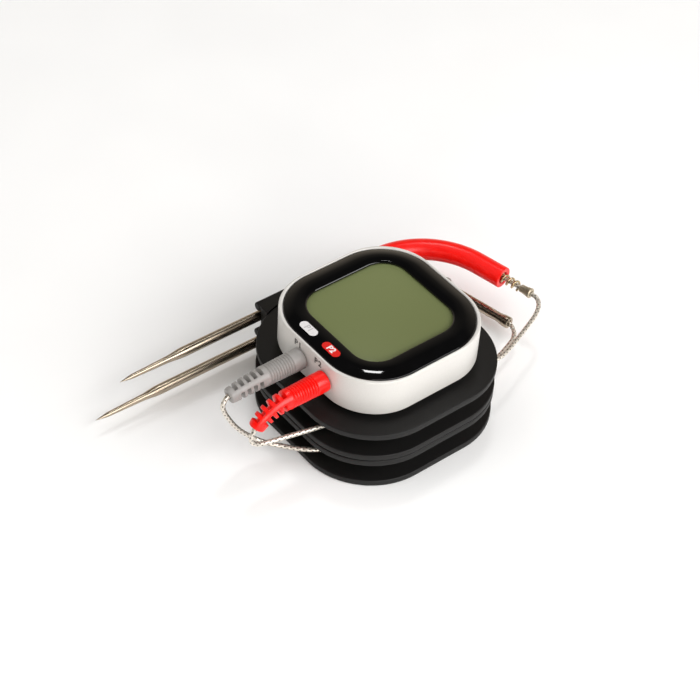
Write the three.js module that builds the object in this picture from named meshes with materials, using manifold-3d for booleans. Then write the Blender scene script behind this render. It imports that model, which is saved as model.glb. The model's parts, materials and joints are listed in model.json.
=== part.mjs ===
// Twin-probe meat thermometer: a display unit standing on two cable reels, with two wired probes
// clipped along the reels' left side. Millimetres, +Z up. The origin is the centre of the lower
// reel's underside. The sockets are on the -Y side and the probes' handles bend round the +Y side.
import * as THREE from 'three';
import { mergeVertices } from 'three/addons/utils/BufferGeometryUtils.js';
import Module from 'manifold-3d';

const wasm = await Module();
wasm.setup();

// ---------- driving dimensions ----------

const GAP = 0.3;              // between pieces that touch
const REACH = 1;              // how far a cutter passes a face, or a joined solid enters the next
const FINE_ARC = 4;           // curve segments that ExtrudeGeometry doubles on each arc
const TURNED_SIDES = 16;      // sides of a large turned piece
const SMALL_SIDES = 12;       // sides of a small turned piece
const SCREW_SIDES = 8;        // sides of a screw

// The two identical reels under the display.
const REEL_HALF = 40.2;
const REEL_CORNER = 28.4;
const REEL_HEIGHT = 13.15;
const FLANGE = 2.6;
const CORE_RADIUS = 17;
const CORE_WALL = 1.8;
const BOSS_RADIUS = 2.6;
const BOSS_CIRCLE = 11.5;
const BOSS_ANGLES = [Math.PI / 2, (7 * Math.PI) / 6, (11 * Math.PI) / 6];
const REEL_FLOORS = { lower: 0, upper: REEL_HEIGHT + GAP };
const REELS_TOP = REEL_FLOORS.upper + REEL_HEIGHT;

// The screws, and the magnets and steel discs that hold the display and the reels together.
const SCREW_HEAD_RADIUS = 2.1;
const SCREW_HEAD_HEIGHT = 1.3;
const SCREW_SHANK_RADIUS = 0.9;
const SCREW_RECESS = 0.4;
const MAGNET_Y = -9.6;
const MAGNET_RADIUS = 4.5;
const MAGNET_THICKNESS = 1.8;
const MAGNET_FLOOR = 0.8;
const DISC_THICKNESS = 0.8;

// The steel-braided cables and their windings.
const CABLE_DIAMETER = 1.8;
const CABLE_RADIUS = CABLE_DIAMETER / 2;
const CABLE_SIDES = 8;
const CABLE_STEP = 2.5 * CABLE_DIAMETER;
const WINDING_INNER = CORE_RADIUS + GAP;
const WINDING_OUTER = WINDING_INNER + 2 * CABLE_DIAMETER + 0.1;
const WINDING_SIDES = 24;
const LEAD_INSIDE_PLUG = [-2.7, -1, 0.6];   // a lead's first points, from its plug's end

// The display unit.
const CASE_HALF = 32.5;
const CASE_CORNER = 21.2;
const CASE_WALL = 1.8;
const CASE_BOTTOM = 29.2;
const CASE_TOP = 45;
const CASE_CHAMFER = 0.7;
const LENS_HALF = 31.2;
const LENS_CORNER = 21.2;
const LENS_TOP = 46.1;
const LENS_PLATE = 1.1;
const LENS_SKIRT = 1;
const LENS_SLOPE = 4.2;
const LENS_STEPS = [[0, 1], [LENS_SLOPE / 3, 0.5], [LENS_SLOPE, 0]];   // inset, depth under the top
const STEP_OVERLAP = 0.1;
const LEDGE_TOP = 43;
const LEDGE_HALF = 27.6;
const LEDGE_CORNER = 12.3;
const LEDGE_THICKNESS = 1;
const RIM_OVERLAP = 0.2;
const CASE_SCREW_PLACES = [[-22, -22], [22, -22], [0, 25.8]];
const CASE_BOSS_RADIUS = 2.6;
const CASE_BOSS_SPREAD = 1.1;
const WINDOW_HALF = 22;
const WINDOW_CORNER = 10.2;
const BACK_HALF = 30.3;
const BACK_FLOOR = REELS_TOP + GAP;
const BACK_PLATE = 2;
const BACK_LIP = 1.2;
const BACK_LIP_RISE = 2.5;
const BATTERY_COVER = 1.3;

// The screen, and what the circuit board carries.
const LCD_TOP = LENS_TOP - LENS_PLATE - GAP;
const LCD_GLASS = 1.2;
const LCD_HALF = 24.6;
const LCD_CORNER = 6;
const LCD_FRAME_TOP = LCD_TOP - 0.2;
const LCD_FRAME_BOTTOM = LEDGE_TOP - 1.1;
const LAMP_HALF = 21.8;
const LAMP_BACK = 19;
const STRIP_HALF = 20;
const STRIP_DEPTHS = [LAMP_BACK + 0.8, LAMP_BACK + 2.8];
const BOARD_BOTTOM = 40.6;
const BOARD_TOP = 41.6;
const RADIO_MODULE = { x: [15, 26], y: [-15, -6], height: 1.8 };
const BUZZER = { x: -14, y: -13, radius: 4.5, height: 3.2 };

// The two AAA cells and their bay.
const CELL_RADIUS = 5.25;
const CELL_LENGTH = 44.5;
const CELL_ROWS = [3, 14];
const CELL_HEIGHT = 34.2;
const BAY_HALF_LENGTH = 24.9;
const BAY_FRONT = -2.8;
const BAY_BACK = 19.8;
const BAY_WALL = 1.2;
const BAY_TOP = 39.4;
const CELL_EDGE = 0.4;
const CELL_NUB_RADIUS = 1.9;
const CELL_NUB_LENGTH = 1;
const CELL_SPRING_RADII = [1.6, 3];
const CELL_SPRING_FOOT = BAY_HALF_LENGTH - 0.8;
const CONTACT_HALF = 3.5;
const CONTACT_THICKNESS = 0.4;

// The plugs, their sockets and the power button.
const SOCKETS = { grey: -4, red: 10 };
const SOCKET_HEIGHT = 36.7;
const SOCKET_DEPTH = 12;
const SOCKET_HALF_WIDTH = 3;
const SOCKET_BELOW = 2.8;
const SOCKET_BACK_WALL = 1.2;
const PIN_RADIUS = 1.25;
const PIN_LENGTH = 11;
const PIN_TAIL = 3.5;
const PIN_TAIL_SOCKET = 4;
const PIN_NECK = [[PIN_RADIUS, 3], [0.9, 2.4], [PIN_RADIUS, 1.6], [0.5, 0]];   // radius, from the tip
const PLUG_RADIUS = 4.1;
const PLUG_GRIP = 16.7;
const PLUG_RELIEF = 15;
const PLUG_RELIEF_RADIUS = 3.1;
const PLUG_RELIEF_RINGS = 6;
const PLUG_EDGE = 0.4;
const PLUG_CABLE_SOCKET = 3;
const PLUG_BENDS = { grey: 0.17, red: 0.91 };
const BUTTON_X = 13;
const BUTTON_RADIUS = 3;
const BUTTON_PROUD = 0.8;
const BUTTON_TRAVEL = 0.8;
const SWITCH_BACK = CASE_HALF - CASE_WALL - 2 - BUTTON_TRAVEL;
const SWITCH_HALF_WIDTH = 3;
const SWITCH_DEPTH = 3.5;

// The probes: a straight needle in its clip, then a bend into the handle.
const NEEDLE_X = -45;
const NEEDLE_ABOVE_REEL = 6.7;
const NEEDLE_RADIUS = 2;
const NEEDLE_POINT = [[0, 0], [1, 4.6], [1.3, 19.5], [NEEDLE_RADIUS, 28.5]];
const PROBE_LENGTH = 192;
const BEND_RADIUS = 32;
const BEND_ANGLE = (78 * Math.PI) / 180;
const BEND_STEPS = 10;
const SLEEVE_RADIUS = 4.35;
const SLEEVE_BORE = NEEDLE_RADIUS + 0.35;
const PROBES = {
  red: { reel: 'upper', tip: -84, bend: 36.65, sleeveEnd: 12.4, sleeveLength: 56 },
  grey: { reel: 'lower', tip: -95.15, bend: 29.5, sleeveEnd: -7, sleeveLength: 50.5 },
};
const SPRING_WIRE = 0.45;
const SPRING_MEAN = 1.65;
const SPRING_TURNS = 4;
const SPRING_STEPS_PER_TURN = 10;
const SPRING_SIDES = 5;
const FERRULE_RADIUS = 2.1;
const FERRULE_LENGTH = 4.9;
const RED_BEND_END = PROBES.red.bend - PROBES.red.tip + BEND_RADIUS * BEND_ANGLE;
const RED_NEEDLE_END = RED_BEND_END + 9.4;
const FERRULE_START = RED_BEND_END + 21.1;
const CABLE_BORE = CABLE_RADIUS + GAP;
const GREY_CABLE_DEPTH = 8;

// The clips that hold the needles.
const CLIP_FRONT = -22.3;
const CLIP_BACK = 12;
const CLIP_WALL = 2.1;
const CLIP_SLACK = 0.4;
const CLIP_BEAD = 1.8;
const CLIP_HEIGHT = REEL_HEIGHT + 0.25;
const CLIP_BASE = 0.4;
const CLIP_MIDDLE = [-8, 2];
const CLIP_INNER = 3;
const CLIP_TONGUE = 6;

// ---------- materials ----------

function finish(color, roughness, metalness) {
  return new THREE.MeshStandardMaterial({ color, roughness, metalness });
}

const silverPaint = finish(0xe6e3df, 0.4, 0.1);
const blackGloss = finish(0x060607, 0.08, 0);
const olive = finish(0x748056, 0.25, 0);
const blackPlastic = finish(0x262626, 0.55, 0);
const whitePlastic = finish(0xeeeeea, 0.5, 0);
const boardGreen = finish(0x1f5a34, 0.5, 0);
const partBlack = finish(0x1a1a1c, 0.45, 0);
const steel = finish(0xc9c6c0, 0.18, 1);
const braid = finish(0xb7b2a6, 0.4, 1);
const brass = finish(0xc9a85a, 0.3, 1);
const redRubber = finish(0xe01c18, 0.45, 0);
const greyRubber = finish(0xa8a5a0, 0.5, 0);
const cellWrap = finish(0x2f4f86, 0.35, 0.2);

// ---------- shapes ----------

// A rounded rectangle about the origin, as an outline or as a hole.
function roundedBox(halfX, halfY, corner, Kind = THREE.Shape) {
  const x = halfX - corner;
  const y = halfY - corner;
  const quarter = Math.PI / 2;
  const outline = new Kind();
  outline.absarc(x, -y, corner, -quarter, 0);
  outline.absarc(x, y, corner, 0, quarter);
  outline.absarc(-x, y, corner, quarter, 2 * quarter);
  outline.absarc(-x, -y, corner, 2 * quarter, 3 * quarter);
  outline.closePath();
  return outline;
}

function plate(outline, bottom, top) {
  const settings = { depth: top - bottom, bevelEnabled: false, curveSegments: FINE_ARC };
  return new THREE.ExtrudeGeometry(outline, settings).translate(0, 0, bottom);
}

// An upright wall between two rounded squares.
function ring(outerHalf, outerCorner, innerHalf, innerCorner, bottom, top) {
  const outline = roundedBox(outerHalf, outerHalf, outerCorner);
  outline.holes.push(roundedBox(innerHalf, innerHalf, innerCorner, THREE.Path));
  return plate(outline, bottom, top);
}

function block([x0, x1], [y0, y1], [z0, z1]) {
  const box = new THREE.BoxGeometry(x1 - x0, y1 - y0, z1 - z0);
  return box.translate((x0 + x1) / 2, (y0 + y1) / 2, (z0 + z1) / 2);
}

// A profile of [radius, height] points turned about the Y axis.
function turned(profile, sides = SMALL_SIDES) {
  return new THREE.LatheGeometry(profile.map(([r, h]) => new THREE.Vector2(r, h)), sides);
}

function upright(geometry) {
  return geometry.rotateX(Math.PI / 2);
}

function rod(radius, bottom, top, sides = SMALL_SIDES) {
  return upright(turned([[0, bottom], [radius, bottom], [radius, top], [0, top]], sides));
}

// A rod along Y at the given x and z.
function rodAlongY(radius, x, [y0, y1], z, sides = SMALL_SIDES) {
  return turned([[0, y0], [radius, y0], [radius, y1], [0, y1]], sides).translate(x, 0, z);
}

// A round tube of solid section along a smooth curve through the points.
function swept(points, radius, sides, step) {
  const curve = new THREE.CatmullRomCurve3(points.map((p) => new THREE.Vector3(...p)), false, 'centripetal');
  const section = new THREE.Shape();
  for (let side = 0; side < sides; side += 1) {
    const angle = (2 * Math.PI * side) / sides;
    const place = side === 0 ? 'moveTo' : 'lineTo';
    section[place](radius * Math.cos(angle), radius * Math.sin(angle));
  }
  const steps = Math.max(2, Math.round(curve.getLength() / step));
  return new THREE.ExtrudeGeometry(section, { steps, extrudePath: curve, bevelEnabled: false });
}

// A line that runs straight from a start point, turns through an arc towards a side, and runs on.
function bentLine(start, heading, side, bendStart, radius, angle) {
  const origin = new THREE.Vector3(...start);
  const ahead = new THREE.Vector3(...heading);
  const across = new THREE.Vector3(...side);
  const up = new THREE.Vector3().crossVectors(across, ahead);
  return (distance) => {
    const turn = Math.min(Math.max((distance - bendStart) / radius, 0), angle);
    const before = Math.min(distance, bendStart);
    const after = Math.max(distance - bendStart - radius * angle, 0);
    const tangent = ahead.clone().multiplyScalar(Math.cos(turn)).addScaledVector(across, Math.sin(turn));
    const normal = across.clone().multiplyScalar(Math.cos(turn)).addScaledVector(ahead, -Math.sin(turn));
    const point = origin.clone()
      .addScaledVector(ahead, before + radius * Math.sin(turn))
      .addScaledVector(across, radius * (1 - Math.cos(turn)))
      .addScaledVector(tangent, after);
    return { point, tangent, normal, up };
  };
}

// Lays a turned piece, whose axis is Y, along a line.
function laidAlong(geometry, line) {
  const position = geometry.getAttribute('position');
  for (let i = 0; i < position.count; i += 1) {
    const { point, normal, up } = line(position.getY(i));
    point.addScaledVector(normal, position.getX(i)).addScaledVector(up, position.getZ(i));
    position.setXYZ(i, point.x, point.y, point.z);
  }
  return geometry;
}

// Heights from one end of a stretch to the other, both included.
function steps(from, to, count) {
  return Array.from({ length: count + 1 }, (_, i) => from + ((to - from) * i) / count);
}

// ---------- solids and pieces ----------

function signedVolume(geometry) {
  const position = geometry.getAttribute('position');
  const index = geometry.getIndex();
  const corners = [new THREE.Vector3(), new THREE.Vector3(), new THREE.Vector3()];
  let total = 0;
  for (let i = 0; i < index.count; i += 3) {
    corners.forEach((corner, k) => corner.fromBufferAttribute(position, index.getX(i + k)));
    total += corners[0].dot(corners[1].cross(corners[2]));
  }
  return total / 6;
}

// A closed mesh of shared vertices whose faces point out.
function closed(geometry) {
  geometry.deleteAttribute('normal');
  geometry.deleteAttribute('uv');
  const merged = mergeVertices(geometry, 1e-4);
  if (signedVolume(merged) < 0) {
    const index = merged.getIndex();
    for (let i = 0; i < index.count; i += 3) {
      const second = index.getX(i + 1);
      index.setX(i + 1, index.getX(i + 2));
      index.setX(i + 2, second);
    }
  }
  return merged;
}

function solid(geometry) {
  const merged = closed(geometry);
  const vertProperties = Float32Array.from(merged.getAttribute('position').array);
  const triVerts = Uint32Array.from(merged.getIndex().array);
  return new wasm.Manifold(new wasm.Mesh({ numProp: 3, vertProperties, triVerts }));
}

function joined(...geometries) {
  return geometries.map(solid).reduce((whole, next) => whole.add(next));
}

function cut(whole, ...tools) {
  return tools.map(solid).reduce((rest, tool) => rest.subtract(tool), whole);
}

function toGeometry(manifold) {
  const { vertProperties, triVerts } = manifold.getMesh();
  const geometry = new THREE.BufferGeometry();
  geometry.setAttribute('position', new THREE.BufferAttribute(Float32Array.from(vertProperties), 3));
  geometry.setIndex(new THREE.BufferAttribute(Uint32Array.from(triVerts), 1));
  return geometry;
}

const thermometer = new THREE.Group();

function piece(name, shape, material) {
  const geometry = shape instanceof THREE.BufferGeometry ? closed(shape) : toGeometry(shape);
  geometry.computeVertexNormals();
  const mesh = new THREE.Mesh(geometry, material);
  mesh.name = name;
  thermometer.add(mesh);
}

// ---------- reels ----------

function bossPlaces() {
  return BOSS_ANGLES.map((angle) => [BOSS_CIRCLE * Math.cos(angle), BOSS_CIRCLE * Math.sin(angle)]);
}

function screwAt([x, y], bottom, length) {
  const headTop = bottom + SCREW_HEAD_HEIGHT;
  const profile = [
    [0, bottom], [SCREW_HEAD_RADIUS, bottom], [SCREW_HEAD_RADIUS, headTop],
    [SCREW_SHANK_RADIUS, headTop], [SCREW_SHANK_RADIUS, bottom + length], [0, bottom + length],
  ];
  return upright(turned(profile, SCREW_SIDES)).translate(x, y, 0);
}

// A magnet, or the steel disc that a magnet holds on to.
function magnetDisc(name, bottom, thickness) {
  const disc = rod(MAGNET_RADIUS, bottom, bottom + thickness, TURNED_SIDES);
  piece(name, disc.translate(0, MAGNET_Y, 0), steel);
}

function makeReel(side) {
  const floor = REEL_FLOORS[side];
  const outline = roundedBox(REEL_HALF, REEL_HALF, REEL_CORNER);
  const topFlange = floor + REEL_HEIGHT - FLANGE;
  const coreTop = topFlange - GAP;
  const coreBore = CORE_RADIUS - CORE_WALL;
  const core = upright(turned([
    [coreBore, floor + REACH], [CORE_RADIUS, floor + REACH], [CORE_RADIUS, coreTop], [coreBore, coreTop],
    [coreBore, floor + REACH],
  ], WINDING_SIDES));
  const places = bossPlaces();
  const headHole = SCREW_HEAD_RADIUS + GAP;
  const shankHole = SCREW_SHANK_RADIUS + GAP;
  const headTop = floor + SCREW_RECESS + SCREW_HEAD_HEIGHT + GAP;
  const counterbores = places.map(([x, y]) => rod(headHole, floor - REACH, headTop).translate(x, y, 0));
  const shankHoles = places.map(([x, y]) => rod(shankHole, floor, topFlange - REACH).translate(x, y, 0));
  const base = cut(joined(plate(outline, floor, floor + FLANGE), core), ...counterbores, ...shankHoles);
  piece(`${side}_reel_base`, base, blackPlastic);

  const bossBottom = floor + FLANGE + GAP;
  const bosses = places.map(([x, y]) => rod(BOSS_RADIUS, bossBottom, topFlange + REACH).translate(x, y, 0));
  const lidOutline = roundedBox(REEL_HALF, REEL_HALF, REEL_CORNER);
  const lid = cut(joined(plate(lidOutline, topFlange, floor + REEL_HEIGHT), ...bosses), ...shankHoles);
  piece(`${side}_reel_top`, lid, blackPlastic);

  const screwLength = REEL_HEIGHT - FLANGE - SCREW_RECESS - REACH - GAP;
  places.forEach((place, order) => {
    piece(`${side}_reel_screw_${order + 1}`, screwAt(place, floor + SCREW_RECESS, screwLength), steel);
  });
  magnetDisc(`${side}_reel_steel_disc`, coreTop - DISC_THICKNESS, DISC_THICKNESS);
}

makeReel('lower');
makeReel('upper');
magnetDisc('upper_reel_magnet', REEL_FLOORS.upper + FLANGE + GAP, MAGNET_THICKNESS);

// ---------- probe clips ----------

function makeClip(side) {
  const floor = REEL_FLOORS[side];
  const needle = floor + NEEDLE_ABOVE_REEL;
  const wallOuter = NEEDLE_X + NEEDLE_RADIUS + CLIP_SLACK;
  const wallInner = wallOuter + CLIP_WALL;
  const length = [CLIP_FRONT, CLIP_BACK];
  const topBead = floor + CLIP_HEIGHT - CLIP_BEAD;
  const lowBead = floor + CLIP_BASE + CLIP_BEAD;
  const body = joined(
    block([wallOuter, wallInner + CLIP_INNER], length, [floor + CLIP_BASE, floor + CLIP_HEIGHT]),
    block([NEEDLE_X, wallOuter + REACH], length, [topBead, floor + CLIP_HEIGHT]),
    rodAlongY(CLIP_BEAD, NEEDLE_X, length, topBead),
    block([NEEDLE_X, wallOuter + REACH], CLIP_MIDDLE, [floor + CLIP_BASE, lowBead]),
    rodAlongY(CLIP_BEAD, NEEDLE_X, CLIP_MIDDLE, lowBead),
  );
  const flangeClearance = REEL_HALF + GAP;
  const flanges = roundedBox(flangeClearance, flangeClearance, REEL_CORNER + GAP);
  const tongue = block(
    [wallOuter + REACH, -REEL_HALF + CLIP_TONGUE],
    CLIP_MIDDLE,
    [floor + FLANGE + GAP, floor + REEL_HEIGHT - FLANGE - GAP],
  );
  const trimmed = cut(
    body,
    plate(flanges, floor - REACH, floor + REEL_HEIGHT + REACH),
    rodAlongY(NEEDLE_RADIUS + GAP, NEEDLE_X, [CLIP_FRONT - REACH, CLIP_BACK + REACH], needle),
  );
  piece(`${side}_probe_clip`, trimmed.add(solid(tongue)), blackPlastic);
}

makeClip('lower');
makeClip('upper');

// ---------- display unit ----------

// The case's screw bosses, each run into the wall by a second rod set further out.
function caseBosses(radius, bottom, top) {
  return CASE_SCREW_PLACES.flatMap(([x, y]) => [1, CASE_BOSS_SPREAD].map((reach) => (
    rod(radius, bottom, top).translate(x * reach, y * reach, 0)
  )));
}

function makeCase() {
  const innerHalf = CASE_HALF - CASE_WALL;
  const innerCorner = CASE_CORNER - CASE_WALL;
  const wallTop = CASE_TOP - CASE_CHAMFER;
  const ledgeBottom = LEDGE_TOP - LEDGE_THICKNESS;
  const seat = LENS_HALF + GAP;
  const seatCorner = LENS_CORNER + GAP;
  const chamferHalf = CASE_HALF - CASE_CHAMFER / 2;
  const shell = joined(
    ring(CASE_HALF, CASE_CORNER, innerHalf, innerCorner, CASE_BOTTOM, LEDGE_TOP),
    ring(innerHalf + REACH, innerCorner + REACH, LEDGE_HALF, LEDGE_CORNER, ledgeBottom, LEDGE_TOP),
    ring(CASE_HALF, CASE_CORNER, seat, seatCorner, LEDGE_TOP - RIM_OVERLAP, wallTop),
    ring(chamferHalf, CASE_CORNER, seat, seatCorner, wallTop - RIM_OVERLAP, CASE_TOP),
    ...caseBosses(CASE_BOSS_RADIUS, BACK_FLOOR + BACK_PLATE + GAP, BOARD_BOTTOM - GAP),
  );
  const wallDepth = [-CASE_HALF - REACH, -CASE_HALF + CASE_WALL + REACH];
  const socketHoles = Object.values(SOCKETS).map((x) => (
    rodAlongY(PIN_RADIUS + 2 * GAP, x, wallDepth, SOCKET_HEIGHT)
  ));
  const farWall = wallDepth.map((y) => -y).reverse();
  const buttonHole = rodAlongY(BUTTON_RADIUS + GAP, BUTTON_X, farWall, SOCKET_HEIGHT);
  const screwHoles = CASE_SCREW_PLACES.map(([x, y]) => (
    rod(SCREW_SHANK_RADIUS + GAP, BACK_FLOOR, BOARD_BOTTOM - 2 * REACH).translate(x, y, 0)
  ));
  piece('front_case', cut(shell, ...socketHoles, buttonHole, ...screwHoles), silverPaint);
}

function makeLens() {
  const plateBottom = LENS_TOP - LENS_PLATE;
  const skirtHalf = LENS_HALF - LENS_SKIRT;
  const skirt = ring(LENS_HALF, LENS_CORNER, skirtHalf, LENS_CORNER - LENS_SKIRT, LEDGE_TOP + GAP, plateBottom);
  const tops = LENS_STEPS.map(([, depth]) => LENS_TOP - depth);
  const stack = LENS_STEPS.map(([inset], order) => {
    const bottom = (order === 0 ? plateBottom : tops[order - 1]) - STEP_OVERLAP;
    return ring(LENS_HALF - inset, LENS_CORNER, WINDOW_HALF, WINDOW_CORNER, bottom, tops[order]);
  });
  piece('lens', joined(skirt, ...stack), blackGloss);
}

function makeScreen() {
  const glassBottom = LCD_TOP - LCD_GLASS;
  const below = glassBottom - GAP;
  const boardGap = BOARD_TOP + GAP;
  piece('lcd_glass', plate(roundedBox(LCD_HALF, LCD_HALF, LCD_CORNER), glassBottom, LCD_TOP), olive);
  const height = [boardGap, below];
  piece('lcd_backlight', block([-LAMP_HALF, LAMP_HALF], [-LAMP_HALF, LAMP_BACK], height), whitePlastic);
  piece('lcd_contact_strip', block([-STRIP_HALF, STRIP_HALF], STRIP_DEPTHS, height), partBlack);
  const frameInner = LCD_HALF + GAP;
  const frame = ring(
    LEDGE_HALF - GAP, LEDGE_CORNER - GAP, frameInner, LCD_CORNER, LCD_FRAME_BOTTOM, LCD_FRAME_TOP,
  );
  piece('lcd_frame', frame, whitePlastic);
}

function makeBoard() {
  const under = BOARD_BOTTOM - GAP;
  const board = roundedBox(LEDGE_HALF - REACH, LEDGE_HALF - REACH, LEDGE_CORNER);
  piece('circuit_board', plate(board, BOARD_BOTTOM, BOARD_TOP), boardGreen);
  piece('radio_module', block(RADIO_MODULE.x, RADIO_MODULE.y, [under - RADIO_MODULE.height, under]), steel);
  piece('buzzer', rod(BUZZER.radius, under - BUZZER.height, under).translate(BUZZER.x, BUZZER.y, 0), partBlack);
  Object.values(SOCKETS).forEach((x, order) => {
    const front = -CASE_HALF + CASE_WALL + GAP;
    const width = [x - SOCKET_HALF_WIDTH, x + SOCKET_HALF_WIDTH];
    const body = block(width, [front, front + SOCKET_DEPTH], [SOCKET_HEIGHT - SOCKET_BELOW, under]);
    const boreEnd = front + SOCKET_DEPTH - SOCKET_BACK_WALL;
    const bore = rodAlongY(PIN_RADIUS + GAP, x, [front - REACH, boreEnd], SOCKET_HEIGHT);
    piece(`p${order + 1}_socket`, cut(solid(body), bore), partBlack);
  });
  const switchBody = block(
    [BUTTON_X - SWITCH_HALF_WIDTH, BUTTON_X + SWITCH_HALF_WIDTH],
    [SWITCH_BACK - SWITCH_DEPTH, SWITCH_BACK],
    [SOCKET_HEIGHT - SWITCH_HALF_WIDTH, under],
  );
  piece('power_switch', switchBody, partBlack);
  const buttonLength = [SWITCH_BACK + BUTTON_TRAVEL + GAP, CASE_HALF + BUTTON_PROUD];
  const button = rodAlongY(BUTTON_RADIUS, BUTTON_X, buttonLength, SOCKET_HEIGHT, TURNED_SIDES);
  piece('power_button', button, blackPlastic);
}

function bayFrame(margin, bottom, top) {
  const reach = BAY_HALF_LENGTH + margin;
  return block([-reach, reach], [BAY_FRONT - margin, BAY_BACK + margin], [bottom, top]);
}

function makeBack() {
  const plateTop = BACK_FLOOR + BACK_PLATE;
  const lipTop = plateTop + BACK_LIP_RISE;
  const corner = CASE_CORNER - CASE_HALF + BACK_HALF;
  const screwHoles = CASE_SCREW_PLACES.flatMap(([x, y]) => [
    rod(SCREW_HEAD_RADIUS + GAP, BACK_FLOOR - REACH, BACK_FLOOR + SCREW_HEAD_HEIGHT).translate(x, y, 0),
    rod(SCREW_SHANK_RADIUS + GAP, BACK_FLOOR - REACH, plateTop + REACH).translate(x, y, 0),
  ]);
  const magnetFloor = BACK_FLOOR + MAGNET_FLOOR;
  const magnetPocket = rod(MAGNET_RADIUS + GAP, magnetFloor, plateTop + REACH, TURNED_SIDES);
  const shell = joined(
    plate(roundedBox(BACK_HALF, BACK_HALF, corner), BACK_FLOOR, plateTop),
    ring(BACK_HALF, corner, BACK_HALF - BACK_LIP, corner - BACK_LIP, plateTop - REACH, lipTop),
    bayFrame(BAY_WALL, plateTop - REACH, BAY_TOP),
  );
  const back = cut(
    shell,
    bayFrame(0, BACK_FLOOR - REACH, CASE_TOP),
    magnetPocket.translate(0, MAGNET_Y, 0),
    ...screwHoles,
    ...caseBosses(CASE_BOSS_RADIUS + GAP, plateTop, CASE_TOP),
  );
  piece('back_cover', back, blackPlastic);
  piece('battery_cover', bayFrame(-GAP, BACK_FLOOR, BACK_FLOOR + BATTERY_COVER), blackPlastic);
  const screwLength = BOARD_BOTTOM - 3 * REACH - BACK_FLOOR;
  CASE_SCREW_PLACES.forEach((place, order) => {
    piece(`case_screw_${order + 1}`, screwAt(place, BACK_FLOOR, screwLength), steel);
  });
  magnetDisc('display_magnet', magnetFloor + GAP, MAGNET_THICKNESS);
}

function makeCells() {
  const half = CELL_LENGTH / 2;
  const shoulder = half - CELL_NUB_LENGTH;
  const [springTip, springFoot] = CELL_SPRING_RADII;
  CELL_ROWS.forEach((y, order) => {
    const facing = order === 0 ? 1 : -1;
    const profile = [
      [0, -half], [CELL_RADIUS - CELL_EDGE, -half], [CELL_RADIUS, -half + CELL_EDGE], [CELL_RADIUS, shoulder],
      [CELL_NUB_RADIUS, shoulder], [CELL_NUB_RADIUS, half], [0, half],
    ];
    const cell = turned(profile, TURNED_SIDES).rotateZ((-facing * Math.PI) / 2);
    piece(`battery_cell_${order + 1}`, cell.translate(0, y, CELL_HEIGHT), cellWrap);
    const spring = turned([
      [0, half + GAP], [springTip, half + GAP], [springFoot, CELL_SPRING_FOOT], [0, CELL_SPRING_FOOT],
    ]).rotateZ((facing * Math.PI) / 2);
    piece(`battery_spring_${order + 1}`, spring.translate(0, y, CELL_HEIGHT), steel);
    const near = facing * (half + GAP);
    const face = [near, near + facing * CONTACT_THICKNESS].sort((a, b) => a - b);
    const across = [-CONTACT_HALF, CONTACT_HALF];
    const contact = block(face, across.map((side) => y + side), across.map((side) => CELL_HEIGHT + side));
    piece(`battery_plate_${order + 1}`, contact, steel);
  });
}

makeCase();
makeLens();
makeScreen();
makeBoard();
makeBack();
makeCells();

// ---------- plugs ----------

function plugLine(colour) {
  const start = [SOCKETS[colour], -CASE_HALF - GAP, SOCKET_HEIGHT];
  const bend = PLUG_BENDS[colour];
  return bentLine(start, [0, -1, 0], [0, 0, -1], PLUG_GRIP, PLUG_RELIEF / bend, bend);
}

function makePlug(colour, rubber) {
  const line = plugLine(colour);
  const tail = PLUG_GRIP + PLUG_RELIEF;
  const taper = (distance) => (
    PLUG_RADIUS + (PLUG_RELIEF_RADIUS - PLUG_RADIUS) * ((distance - PLUG_GRIP) / PLUG_RELIEF) ** 2
  );
  const reliefRings = steps(PLUG_GRIP, tail, PLUG_RELIEF_RINGS).map((distance) => [taper(distance), distance]);
  const cableSocket = tail - PLUG_CABLE_SOCKET;
  const profile = [
    [0, 0], [PLUG_RADIUS - PLUG_EDGE, 0], [PLUG_RADIUS, PLUG_EDGE], ...reliefRings,
    [CABLE_BORE, tail], [CABLE_BORE, cableSocket], [0, cableSocket],
  ];
  const boot = laidAlong(turned(profile), line);
  const pinSocket = rodAlongY(PIN_RADIUS + GAP, SOCKETS[colour], [-CASE_HALF - PIN_TAIL_SOCKET, -CASE_HALF],
    SOCKET_HEIGHT);
  piece(`${colour}_plug_boot`, cut(solid(boot), pinSocket), rubber);
  const pinEnd = -CASE_HALF + PIN_LENGTH;
  const pinStart = -CASE_HALF - PIN_TAIL;
  const neck = PIN_NECK.map(([radius, fromTip]) => [radius, pinEnd - fromTip]);
  const pin = turned([[0, pinStart], [PIN_RADIUS, pinStart], ...neck, [0, pinEnd]]);
  piece(`${colour}_plug_pin`, pin.translate(SOCKETS[colour], 0, SOCKET_HEIGHT), brass);
}

makePlug('grey', greyRubber);
makePlug('red', redRubber);

// ---------- probes ----------

function probeLine({ reel, tip, bend }) {
  const start = [NEEDLE_X, tip, REEL_FLOORS[reel] + NEEDLE_ABOVE_REEL];
  return bentLine(start, [0, 1, 0], [1, 0, 0], bend - tip, BEND_RADIUS, BEND_ANGLE);
}

function bendRings(bendStart, radius) {
  const bendEnd = bendStart + BEND_RADIUS * BEND_ANGLE;
  return steps(bendStart, bendEnd, BEND_STEPS).map((distance) => [radius, distance]);
}

function makeSleeve(colour, rubber) {
  const probe = PROBES[colour];
  const bendStart = probe.bend - probe.tip;
  const end = bendStart + BEND_RADIUS * BEND_ANGLE + probe.sleeveEnd;
  const distances = steps(end - probe.sleeveLength, end, BEND_STEPS);
  const outside = distances.map((distance) => [SLEEVE_RADIUS, distance]);
  const inside = distances.map((distance) => [SLEEVE_BORE, distance]).reverse();
  const sleeve = turned([...outside, ...inside, outside[0]]);
  piece(`${colour}_probe_sleeve`, laidAlong(sleeve, probeLine(probe)), rubber);
}

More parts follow.
